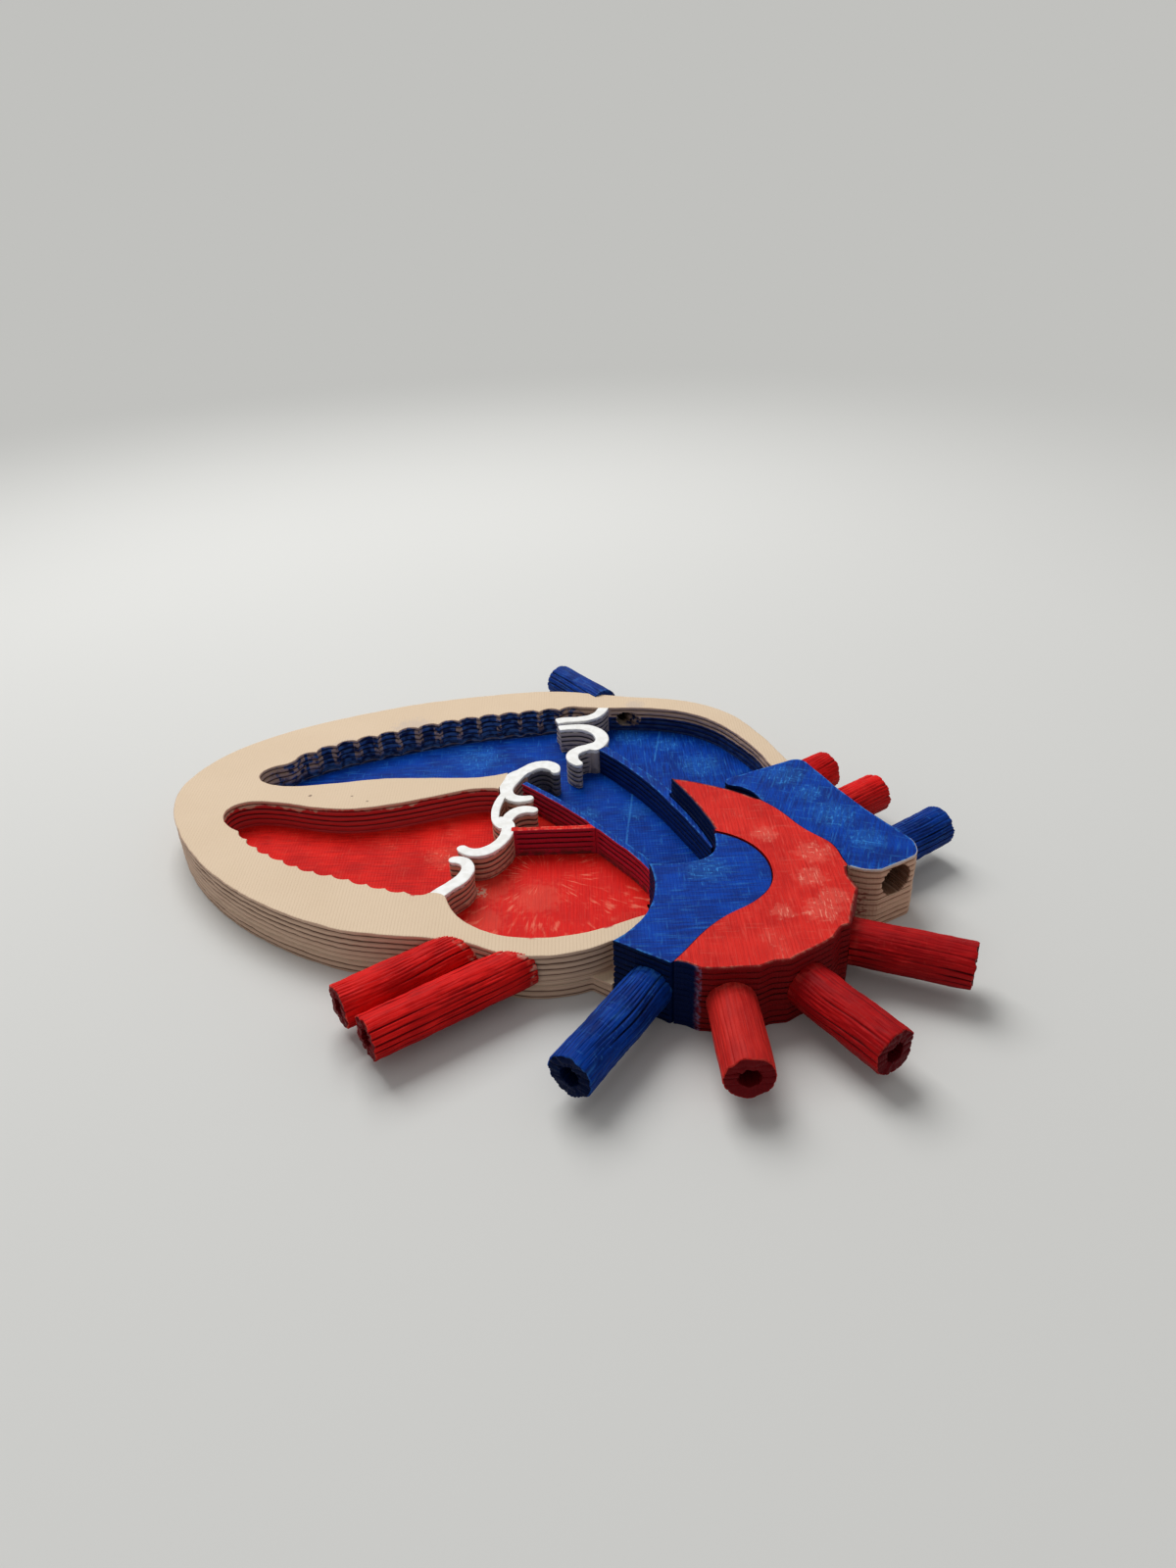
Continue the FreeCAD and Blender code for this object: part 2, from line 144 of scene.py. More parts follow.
def outlines(solid, height):
    """Closed outlines of the solid at a height, with the material on their left.
    Each triangle that crosses the height gives one edge, from where it goes down through the
    plane to where it comes up. The edges are linked by the solid's edge that two triangles
    share, and put in order by pointer doubling."""
    corners, triangles = solid
    above = corners[triangles, 2] > height
    crossing = above.any(1) & ~above.all(1)
    triangles = triangles[crossing]
    above = above[crossing]
    following = np.roll(triangles, -1, axis=1)
    above_following = np.roll(above, -1, axis=1)
    rises = ~above & above_following
    falls = above & ~above_following
    span = len(corners)
    up_low, up_high = triangles[rises], following[rises]
    down_low, down_high = following[falls], triangles[falls]
    up_key = up_low * span + up_high
    down_key = down_low * span + down_high
    order = np.argsort(down_key)
    step = order[np.searchsorted(down_key[order], up_key)]
    low, high = corners[up_low], corners[up_high]
    share = (height - low[:, 2]) / (high[:, 2] - low[:, 2])
    places = (low + (high - low) * share[:, None])[:, :2]
    rounds = int(math.ceil(math.log2(len(step)))) + 1
    index = np.arange(len(step))
    leader, jump = index.copy(), step.copy()
    for _ in range(rounds):
        leader = np.minimum(leader, leader[jump])
        jump = jump[jump]
    jump = np.where(step == leader, index, step)
    left = (jump != index).astype(int)
    for _ in range(rounds):
        left = left + left[jump]
        jump = jump[jump]
    order = np.lexsort((-left, leader))
    cuts = np.flatnonzero(np.diff(leader[order])) + 1
    return [places[run] for run in np.split(order, cuts)]


def evened(outline):
    """The outline with evenly spaced points, from its furthest corner in a fixed direction."""
    start = int(np.argmax(outline @ START_WAY))
    closed = np.roll(outline, -start, axis=0)
    closed = np.vstack([closed, closed[:1]])
    along = np.concatenate([[0], np.cumsum(np.linalg.norm(np.diff(closed, axis=0), axis=1))])
    count = max(12, round(along[-1] / STEP))
    stops = np.arange(count) * along[-1] / count
    return np.column_stack([np.interp(stops, along, closed[:, k]) for k in (0, 1)])


def turned(loops):
    """The outlines with the material on their left, as the outer one's area tells."""
    areas = [np.cross(loop, np.roll(loop, -1, axis=0)).sum() for loop in loops]
    if max(areas, key=abs) < 0:
        return [loop[::-1] for loop in loops]
    return loops


def ends_of(node):
    """The lowest and the highest height of a node."""
    heights = SOLIDS[node][0][:, 2]
    return heights.min(), heights.max()


SOLIDS = {node: solid_of(node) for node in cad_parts}
UPRIGHT_NODES = [node for node in SOLIDS if node not in BLUE_TUBES + RED_TUBES + SLAB_VEINS]
known_plans = {}


def plan_of(node, height):
    """Outlines of a node at a height, without slivers. The pulmonary trunk's is drawn out to the
    aorta beside it."""
    key = (node, round(height, 2))
    if key not in known_plans:
        loops = [loop for loop in turned(outlines(SOLIDS[node], height))
                 if np.ptp(loop, axis=0).max() > SLIVER]
        if node == "pulmonary_trunk":
            loops = [drawn_out(evened(loop), section("aorta", height)[0]) for loop in loops]
        known_plans[key] = loops
    return known_plans[key]


def section(node, height):
    """The node's outlines with evenly spaced points."""
    return [evened(loop) for loop in plan_of(node, height)]


def settled(loop, earlier):
    """Points along the outline: those of earlier outlines that lie on it, so that the walls of
    one run carry on in the next, and evenly spaced ones where there are none."""
    closed = np.vstack([loop, loop[:1]])
    step = np.diff(closed, axis=0)
    length = np.linalg.norm(step, axis=1)
    long = length > TINY
    closed, step, length = closed[:-1][long], step[long], length[long]
    start = np.cumsum(length) - length
    fresh = evened(loop)
    points = np.vstack([earlier, fresh]) if len(earlier) else fresh
    apart = points[:, None] - closed
    share = np.clip((apart * step).sum(2) / length ** 2, 0, 1)
    gap = np.linalg.norm(apart - share[..., None] * step, axis=2)
    nearest = gap.argmin(1)
    rows = np.arange(len(points))
    along = start[nearest] + share[rows, nearest] * length[nearest]
    old = rows < len(points) - len(fresh)
    kept = old & (gap[rows, nearest] < SAME)
    if kept.any():
        total = length.sum()
        apart = np.abs(along[:, None] - along[kept])
        clear = np.minimum(apart, total - apart).min(1) > CROWDED * STEP
    else:
        clear = ~old
    chosen = kept | (~old & clear)
    return points[chosen][np.argsort(along[chosen])]


def crossings(places, loop):
    """The sides of an outline that the line along X through each place crosses, and at what x."""
    a, b = loop, np.roll(loop, -1, axis=0)
    y = places[:, 1:]
    spans = (a[:, 1] > y) != (b[:, 1] > y)
    rise = np.where(a[:, 1] == b[:, 1], 1.0, b[:, 1] - a[:, 1])
    return spans, a[:, 0] + (y - a[:, 1]) * (b[:, 0] - a[:, 0]) / rise


def drawn_out(loop, neighbour):
    """The outline with its hollow side moved along -X until a seam short of the neighbour: where
    the ray from a point towards -X meets the neighbour within a few millimetres."""
    spans, meets = crossings(loop, neighbour)
    x = loop[:, :1]
    room = np.where(spans & (meets < x), x - meets, FAR).min(1)
    hollow = (room > 1.3 * VESSEL_SEAM) & (room < HOLLOW) & (outward(loop)[:, 0] < -0.5)
    moved = loop.copy()
    moved[hollow, 0] -= room[hollow] - VESSEL_SEAM
    return evened(moved)


def outward(outline):
    """Unit vectors that point out of the material, square to the outline."""
    along = np.roll(outline, -1, axis=0) - np.roll(outline, 1, axis=0)
    along /= np.maximum(np.linalg.norm(along, axis=1), 1e-9)[:, None]
    return np.column_stack([along[:, 1], -along[:, 0]])


def inside(places, loops):
    """True for places inside the outlines: a ray to the right crosses them an odd number of
    times."""
    count = np.zeros(len(places), int)
    for loop in loops:
        spans, meets = crossings(places, loop)
        count += (spans & (meets > places[:, :1])).sum(1)
    return count % 2 == 1


def gap_to(places, targets):
    """Distance from each place to the nearest of the targets."""
    nearest = np.full(len(places), FAR)
    for part in np.array_split(targets, max(1, len(targets) // BATCH)):
        nearest = np.minimum(nearest, np.linalg.norm(places[:, None] - part[None], axis=2).min(1))
    return nearest


def floors_of(nodes):
    """Outlines of the chamber floors."""
    return [loop for node in nodes for loop in section(node, FLOOR_LEVEL)]


CHAMBERS = (floors_of(RIGHT_FLOORS), floors_of(LEFT_FLOORS))


def looks_onto(outline, out):
    """For each place of an outline: 1 where its wall looks onto a right chamber's floor, 1 where
    it looks onto a left chamber's, and 1 on the ridges of a lobed wall."""
    probe = outline + out * LOOK
    gaps = []
    for floors in CHAMBERS:
        gap = gap_to(probe, np.vstack(floors))
        gap[inside(probe, floors)] = 0
        gaps.append(gap)
    right, left = gaps
    near = gap_to(outline, np.vstack(CHAMBERS[0] + CHAMBERS[1]))
    ridge = (near > RIDGE_GAP[0]) & (near < RIDGE_GAP[1])
    ridge = np.max([np.roll(ridge, shift) for shift in (-1, 0, 1)], axis=0)
    onto_right = (right < LOOK) & (right <= left)
    onto_left = (left < LOOK) & (left < right)
    return np.column_stack([onto_right, onto_left, ridge])


def freedom(node, loop, low, high, heights):
    """How free each place of a wall stands, by height: 0 where it touches another upright piece,
    so that joints stay shut, and 1 where nothing is near."""
    free = np.ones((len(heights), len(loop)))
    others = [(name, *ends_of(name)) for name in UPRIGHT_NODES if name != node]
    for bottom, top in STOREYS:
        start, end = max(low, bottom), min(high, top)
        rows = (heights >= start) & (heights <= end)
        if end - start < THINNEST or not rows.any():
            continue
        level = (start + end) / 2
        beside = [outline for name, lowest, highest in others if lowest < level < highest
                  for outline in section(name, level)]
        if beside:
            gap = gap_to(loop, np.vstack(beside))
            gap = np.median([np.roll(gap, shift) for shift in range(-3, 4)], axis=0)
            free[rows] = np.clip((gap - JOINT) / JOINT_FADE, 0, 1)
    return free


# ---------------------------------------------------------------- meshes
class Shell:
    """Corners, triangles and marks of one piece, gathered part by part."""

    def __init__(self):
        self.corners, self.triangles, self.marks = [], [], []
        self.count = 0

    def add(self, corners, marks):
        """Adds corners and gives their numbers."""
        numbers = self.count + np.arange(len(corners))
        self.corners.append(corners)
        self.marks.append(marks)
        self.count += len(corners)
        return numbers

    def band(self, numbers):
        """Triangles between the rows of a grid of corners that is closed along each row."""
        ahead = np.roll(numbers, -1, axis=1)
        a, b, c, d = numbers[:-1], ahead[:-1], ahead[1:], numbers[1:]
        self.triangles.append(np.stack([a, b, c], -1).reshape(-1, 3))
        self.triangles.append(np.stack([a, c, d], -1).reshape(-1, 3))

    def object(self, node, slot, material):
        """Welds corners at one place, leaves out triangles without area, and makes the mesh that
        stands for the node. Welded corners keep the stronger of their chamber marks."""
        corners = np.vstack(self.corners)
        triangles = np.vstack(self.triangles)
        marks = np.vstack(self.marks)
        _, first, same = np.unique(
            np.round(corners, 3), axis=0, return_index=True, return_inverse=True)
        same = same.reshape(-1)
        joined = marks[first]
        for column in (ON_BLUE, ON_RED):
            np.maximum.at(joined[:, column], same, marks[:, column])
        corners, marks, triangles = corners[first], joined, proper(same[triangles])
        mesh = bpy.data.meshes.new(node + "_printed")
        mesh.vertices.add(len(corners))
        mesh.vertices.foreach_set("co", (corners * MM).ravel())
        mesh.loops.add(triangles.size)
        mesh.loops.foreach_set("vertex_index", triangles.ravel())
        mesh.polygons.add(len(triangles))
        mesh.polygons.foreach_set("loop_start", np.arange(len(triangles)) * 3)
        mesh.polygons.foreach_set("use_smooth", np.ones(len(triangles), bool))
        mesh.update()
        for name, values in zip(MARKS, marks.T):
            mark = mesh.attributes.new(name, "FLOAT", "POINT")
            mark.data.foreach_set("value", values)
        mesh.validate()
        mesh.set_sharp_from_angle(angle=math.radians(SHARP_ANGLE))
        mesh.materials.append(material)
        piece = bpy.data.objects.new(node + "_printed", mesh)
        bpy.context.scene.collection.objects.link(piece)
        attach(piece, "root")
        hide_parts(node)


# ---------------------------------------------------------------- upright pieces, layer by layer
def groove(heights):
    """How far a layer's edge draws back at each height: nothing at its middle, most where
    it meets the next layer, as the fourth power of the distance from the middle."""
    level = (heights - FIRST_LAYER) / LAYER
    layer = np.floor(level + TINY)
    part = level - layer
    below = np.take(GROOVES, np.clip(layer, 0, len(GROOVES) - 1).astype(int))
    above = np.take(GROOVES, np.clip(layer + 1, 0, len(GROOVES) - 1).astype(int))
    depth = np.where(part < 0.5, below, above)
    return depth * np.abs(2 * part - 1) ** 4


def runs_of(node):
    """Runs of height with one outline: the lower and the upper height, and whether the run ends
    in a flat face."""
    corners, triangles = SOLIDS[node]
    heights = corners[triangles, 2]
    level = np.ptp(heights, axis=1) < SAME / 2
    edge_a = corners[triangles[:, 1]] - corners[triangles[:, 0]]
    edge_b = corners[triangles[:, 2]] - corners[triangles[:, 0]]
    area = np.abs(np.cross(edge_a[:, :2], edge_b[:, :2])) / 2
    flats = list(ends_of(node))
    for height in np.unique(np.round(heights[level, 0], 2)):
        if area[level & (np.abs(heights[:, 0] - height) < SAME)].sum() > SMALL_FLAT:
            flats.append(height)
    levels = sorted(flats + list(np.arange(flats[0] + SLICE, flats[1] - SLICE / 2, SLICE)))
    levels = [z for k, z in enumerate(levels) if k == 0 or z - levels[k - 1] > SLICE / 3]
    runs, last = [], None
    for low, high in zip(levels, levels[1:]):
        loops = section(node, (low + high) / 2)
        flat = min(abs(high - z) for z in flats) < SAME
        if last and len(last) == len(loops) and all(
                len(a) == len(b) and np.abs(a - b).max() < SAME for a, b in zip(last, loops)):
            runs[-1][1:] = [high, flat]
        else:
            runs.append([low, high, flat])
            last = loops
    return runs


def drawn_heights(low, high):
    """Heights between two levels at which the rounded edges of the layers are drawn."""
    layers = np.arange(-1, len(GROOVES) + 1)[:, None]
    heights = (FIRST_LAYER + LAYER * (layers + np.array(BEAD))).ravel()
    if high - low < 3 * RIM:
        rims = []
        margin = THIN_MARGIN
    else:
        rims = [low + step for step in RIM_STEPS] + [high - step for step in RIM_STEPS]
        margin = LAYER_MARGIN
    heights = heights[(heights > low + margin) & (heights < high - margin)]
    return np.sort(np.concatenate([[low], heights, rims, [high]]))


def rim(heights, low, high):
    """Rounding of a piece's own top and bottom edge, as a quarter circle."""
    near = np.minimum(heights - low, high - heights)
    bite = np.clip(1 - near / RIM, 0, 1)
    return RIM * (1 - np.sqrt(1 - bite ** 2))


def field(below, above):
    """Places for corners on a face that looks up, inside the outlines below it and outside those
    above: a staggered grid, and a row just inside the edges."""
    points = np.vstack(below + above)
    low, high = points.min(0), points.max(0)
    x, y = np.meshgrid(np.arange(low[0], high[0], TOP_PITCH), np.arange(low[1], high[1], TOP_ROW))
    x = x + (np.arange(x.shape[0]) % 2)[:, None] * TOP_PITCH / 2
    row = np.vstack([ring - outward(ring) * EDGE_BAND for ring in below])
    row = row[gap_to(row, points) > 0.8 * EDGE_BAND]
    grid = np.column_stack([x.ravel(), y.ravel()])
    grid = grid[inside(grid, below)]
    grid = grid[gap_to(grid, np.vstack([points, row])) > CROWDED * TOP_PITCH]
    places = np.vstack([row, grid])
    return places[inside(places, below) & ~inside(places, above)]


def ledge(shell, below, above, height, seed):
    """The flat faces where one run ends and the next begins: those that only one of them covers.
    A face that looks up has corners of its own, pressed in a little by the brushed unevenness."""
    rings = below[0] + above[0]
    filling = np.empty((0, 2))
    if below[0] and height > FLOOR_LEVEL:
        filling = field(below[0], above[0])
    edges, base = [], 0
    for ring in rings:
        ids = base + np.arange(len(ring))
        edges.append(np.column_stack([ids, np.roll(ids, -1)]))
        base += len(ring)
    points = np.vstack(rings + [filling])
    found = delaunay_2d_cdt([Vector(p) for p in points], np.vstack(edges).tolist(), [], 0, TINY)
    spots = np.array([tuple(v) for v in found[0]])
    source = np.array([ids[0] if ids else -1 for ids in found[3]])
    faces = np.array(found[2])
    middles = spots[faces].mean(1)
    under, over = inside(middles, below[0]), inside(middles, above[0])
    old = (source >= 0) & (source < base)
    fresh = np.column_stack([spots[~old], np.full((~old).sum(), height)])
    if len(filling):
        wave = ripple(fresh[:, :2], TOP_WAVE_LENGTH, seed + 5)
        fresh[:, 2] -= TOP_WAVE * np.clip(1 + wave, 0, None) / 2
    number = np.empty(len(spots), int)
    number[old] = np.concatenate(below[1] + above[1])[source[old]]
    number[~old] = shell.add(fresh, np.zeros((len(fresh), len(MARKS))))
    shell.triangles.append(number[faces[under & ~over]])
    shell.triangles.append(number[faces[over & ~under]][:, ::-1])


def layered(node, slot, material):
    """An upright piece in print layers: the node's own outline at each height, with the edge of
    each layer rounded, and the flat faces between and at the ends shut."""
    low_end, high_end = ends_of(node)
    seed = sum(map(ord, node))
    shell = Shell()
    below = ([], [])
    earlier = np.empty((0, 2))
    for low, high, flat in runs_of(node):
        loops = [settled(loop, earlier) for loop in plan_of(node, (low + high) / 2)]
        earlier = np.vstack(loops)
        heights = drawn_heights(low, high)
        drawn_in = groove(heights) + rim(heights, low_end, high_end)
        if node in FLAPS:
            drawn_in -= OVERHANG * np.clip((heights - (high_end - LAYER)) / OVERHANG_RISE, 0, 1)
        rows = {0: ([], []), -1: ([], [])}
        for loop in loops:
            out = outward(loop)
            shape = (len(heights), len(loop))
            grid = np.empty(shape + (3,))
            grid[..., :2] = loop
            grid[..., 2] = heights[:, None]
            free = freedom(node, loop, low, high, heights)
            uneven = WOBBLE * wobble(grid.reshape(-1, 3), seed).reshape(shape)
            grid[..., :2] -= out * ((drawn_in[:, None] + uneven) * free)[..., None]
            marks = np.empty(shape + (len(MARKS),))
            marks[..., ON_WALL] = 1
            marks[-1, :, ON_WALL] = 0 if flat else 1
            marks[..., ON_BLUE:ON_CREST + 1] = looks_onto(loop, out)
            marks[..., IN_GROOVE] = groove(heights)[:, None] * free / max(GROOVES)
            marks[..., ON_EDGE] = (high_end - heights < WEAR_AND_HIGHLIGHT_HEIGHT)[:, None] * free
            numbers = shell.add(grid.reshape(-1, 3), marks.reshape(-1, len(MARKS))).reshape(shape)
            shell.band(numbers)
            for k, (rings, ids) in rows.items():
                rings.append(grid[k, :, :2])
                ids.append(numbers[k])
        ledge(shell, below, rows[0], low, seed)
        below = rows[-1]
    ledge(shell, below, ([], []), high_end, seed)
    shell.object(node, slot, material)


# ---------------------------------------------------------------- vessel tubes
TUBE_COLUMNS = 320
TUBE_STEP = 0.8         # along the tube
TUBE_RIM = 0.3
TUBE_BEND = np.radians([15, 35, 55, 75])    # where the rounded edges are drawn
FACE_ROWS = 9           # across the end face
TUBE_WOBBLE = 1.2 * WOBBLE
TUBE_GROOVES = 20       # round the tube
GROOVE_DEPTH = 0.36
GROOVE_WIDTH = 0.16
FINE_GROOVE_DEPTH = 0.12
GROOVE_WANDER = 0.14    # as a share of the way from one groove to the next
GROOVE_STRENGTHS = (0.25, 1.0)
CROWN_STRENGTH = 0.25   # of the grooves on the crown and below, against 1 at the sides
FAINT_GROOVES = {"left_subclavian_artery": 0.35, "left_carotid_artery": 0.75}
END_WAVE = 0.3          # unevenness of the outer end
END_WAVE_LENGTH = 2.2
END_FADE = 1.5          # way in over which it fades
FACE_GROOVES = 0.8      # strength of the layer grooves across the end face
GROOVES_REPEAT = 8 * LAYER  # height after which they start again
ROUND_WALL = 0.03       # corners this near to a radius are on its wall
ROOT_START = 0.5        # the tube's root is at least this far in
ROOT_ARC = 0.2          # radians round the tube over which its root is looked for


def end_of(solid):
    """The round outer end of a vessel tube, which is its flat face furthest from the origin: its
    middle, the way into the tube, and the radii of the tube and of its bore."""
    corners, triangles = solid
    a, b, c = (corners[triangles[:, k]] for k in range(3))
    normal = np.cross(b - a, c - a)
    area = np.linalg.norm(normal, axis=1) / 2
    centre = (a + b + c) / 3
    last = np.argmax(np.linalg.norm(centre[:, :2], axis=1))
    way = -normal[last] / (2 * area[last])
    flat = np.abs((corners - a[last]) @ way) < SAME
    end = flat[triangles].all(1)
    middle = (area[end, None] * centre[end]).sum(0) / area[end].sum()
    gaps = np.linalg.norm(corners[flat] - middle, axis=1)
    return middle, way, gaps.max(), gaps.min()


def reach(corners, middle, way, sides, radius, angles):
    """How far the round wall of that radius runs into the model at each angle."""
    apart = corners - middle
    along = apart @ way
    up, side = apart @ sides[0], apart @ sides[1]
    on_wall = (np.abs(np.hypot(up, side) - radius) < ROUND_WALL) & (along > ROOT_START)
    turn = np.arctan2(side, up)[on_wall] - angles[:, None]
    near = np.abs((turn + math.pi) % (2 * math.pi) - math.pi) < ROOT_ARC
    return np.where(near, along[on_wall], 0).max(1)


def tube_grooves(angles, grid, radius, seed):
    """Depth of the grooves along a tube: a bell curve of the distance round it to the nearest of
    evenly spaced lines that wander a little, each of its own strength and deeper at the sides
    than on the crown, with a finer line half way between that comes and goes."""
    pitch = 2 * math.pi * radius / TUBE_GROOVES
    flat = grid.reshape(-1, 3)
    place = grid.shape[:2]
    strengths = np.random.default_rng(seed).uniform(*GROOVE_STRENGTHS, TUBE_GROOVES)
    wander = GROOVE_WANDER * ripple(flat * 0.5, 9.0, seed + 4).reshape(place)
    turn = angles / (2 * math.pi) * TUBE_GROOVES + wander
    strength = strengths[np.round(turn).astype(int) % TUBE_GROOVES]
    gap = np.abs(turn - np.round(turn)) * pitch
    between = pitch / 2 - gap
    steep = CROWN_STRENGTH + (1 - CROWN_STRENGTH) * np.abs(np.sin(angles)) ** 0.7
    fade = np.clip(0.8 + 0.35 * ripple(flat, 13.0, seed + 2), 0.3, 1.1).reshape(place)
    shows = np.clip(0.4 + 0.8 * ripple(flat, 8.0, seed + 3), 0, 1).reshape(place)
    main = GROOVE_DEPTH * strength * steep * fade * np.exp(-(gap / GROOVE_WIDTH) ** 2)
    return main + FINE_GROOVE_DEPTH * shows * np.exp(-(between / (0.6 * GROOVE_WIDTH)) ** 2)


def stretch(*columns):
    """Rows of a tube's profile. Each column is an array, or one number for every row: the fixed way
    in, the share of the outer wall's length, the share of the bore's length, the radius, and the
    direction square to the profile as its part along the axis and its part outwards."""
    return np.column_stack(np.broadcast_arrays(*columns))


def tube(node, slot, painter, colours):
    """A vessel tube: one profile carried round the tube's axis. The profile runs along the
    outside from the root to the outer end, over the rounded edge, across the end face and back
    through the bore, and the grooves along the tube are pressed in square to it. The end face
    has the grooves between the print layers instead."""
    solid = SOLIDS[node]
    middle, way, radius, bore = end_of(solid)
    up = np.array([0, 0, 1.0])
    sides = (up, np.cross(up, way))
    angles = np.arange(TUBE_COLUMNS) * 2 * math.pi / TUBE_COLUMNS - math.pi
    root = reach(solid[0], middle, way, sides, radius, angles)
    bore_root = reach(solid[0], middle, way, sides, bore, angles)
    rows = int(root.max() / TUBE_STEP)
    down = np.linspace(1, 0, rows)
    sine, cosine = np.sin(TUBE_BEND), np.cos(TUBE_BEND)
    bore_rim = TUBE_RIM / 2
    face = np.linspace(radius - TUBE_RIM, bore + bore_rim, FACE_ROWS)
    profile = np.vstack([
        stretch(TUBE_RIM, down, 0, radius, 0, 1),
        stretch(TUBE_RIM * (1 - sine), 0, 0, radius - TUBE_RIM * (1 - cosine), -sine, cosine),
        stretch(0, 0, 0, face, -1, 0),
        stretch(bore_rim * (1 - cosine), 0, 0, bore + bore_rim * (1 - sine), -cosine, -sine),
        stretch(bore_rim, 0, 1 - down, bore, 0, -1),
    ])
    start, outer, inner, ring, back, out = profile.T[..., None]
    along = start + outer * (root - TUBE_RIM) + inner * (bore_root - bore_rim)
    spoke = np.cos(angles)[None, :, None] * sides[0] + np.sin(angles)[None, :, None] * sides[1]
    seed = sum(map(ord, node))
    end_wave = 0.5 + 0.5 * ripple(radius * spoke[0], END_WAVE_LENGTH, seed + 6)
    along = along + END_WAVE * np.clip(end_wave, 0, 1) * np.exp(-along / END_FADE)
    grid = middle + along[..., None] * way + ring[..., None] * spoke
    grooves = tube_grooves(angles[None], grid, radius, seed) * FAINT_GROOVES.get(node, 1.0)
    face_start = rows + len(TUBE_BEND)
    face_rows = slice(face_start, face_start + FACE_ROWS)
    grooves[face_rows] = groove(grid[face_rows, :, 2] % GROOVES_REPEAT) * FACE_GROOVES
    uneven = TUBE_WOBBLE * wobble(grid.reshape(-1, 3), seed).reshape(along.shape)
    depth = grooves + uneven
    grid -= (depth * back)[..., None] * way + (depth * out)[..., None] * spoke
    marks = np.zeros(along.shape + (len(MARKS),))
    # The end face and the bore are marked as wall, so their paint takes the darker side colour:
    # painted shade.
    marks[face_start:, :, ON_WALL] = 1
    marks[..., IN_GROOVE] = grooves / GROOVE_DEPTH
    marks[rows:face_start, :, ON_EDGE] = 1
    marks[:2, :, ON_EDGE] = 1
    shell = Shell()
    numbers = shell.add(grid.reshape(-1, 3), marks.reshape(-1, len(MARKS))).reshape(along.shape)
    shell.band(np.vstack([numbers, numbers[:1]])[::-1])
    angle = math.degrees(math.atan2(way[1], way[0]))
    shell.object(node, slot, painter(node + "_paint", colours, angle))


# ---------------------------------------------------------------- shader maths
class Link:
    """A socket that plain operators work on."""

    def __init__(self, graph, socket):
        self.graph = graph
        self.socket = socket

    def __add__(self, other):
        return self.graph.maths("ADD", self, other)

    def __sub__(self, other):
        return self.graph.maths("SUBTRACT", self, other)

    def __rsub__(self, other):
        return self.graph.maths("SUBTRACT", other, self)

    def __mul__(self, other):
        return self.graph.maths("MULTIPLY", self, other)

    __radd__ = __add__
    __rmul__ = __mul__

    def most(self, other):
        return self.graph.maths("MAXIMUM", self, other)

    def rise(self, low, high):
        """0 below low, 1 above high, and a smooth step between."""
        return self.graph.node("ShaderNodeMapRange", {"interpolation_type": "SMOOTHSTEP"},
                               {"Value": self, "From Min": low, "From Max": high})["Result"]


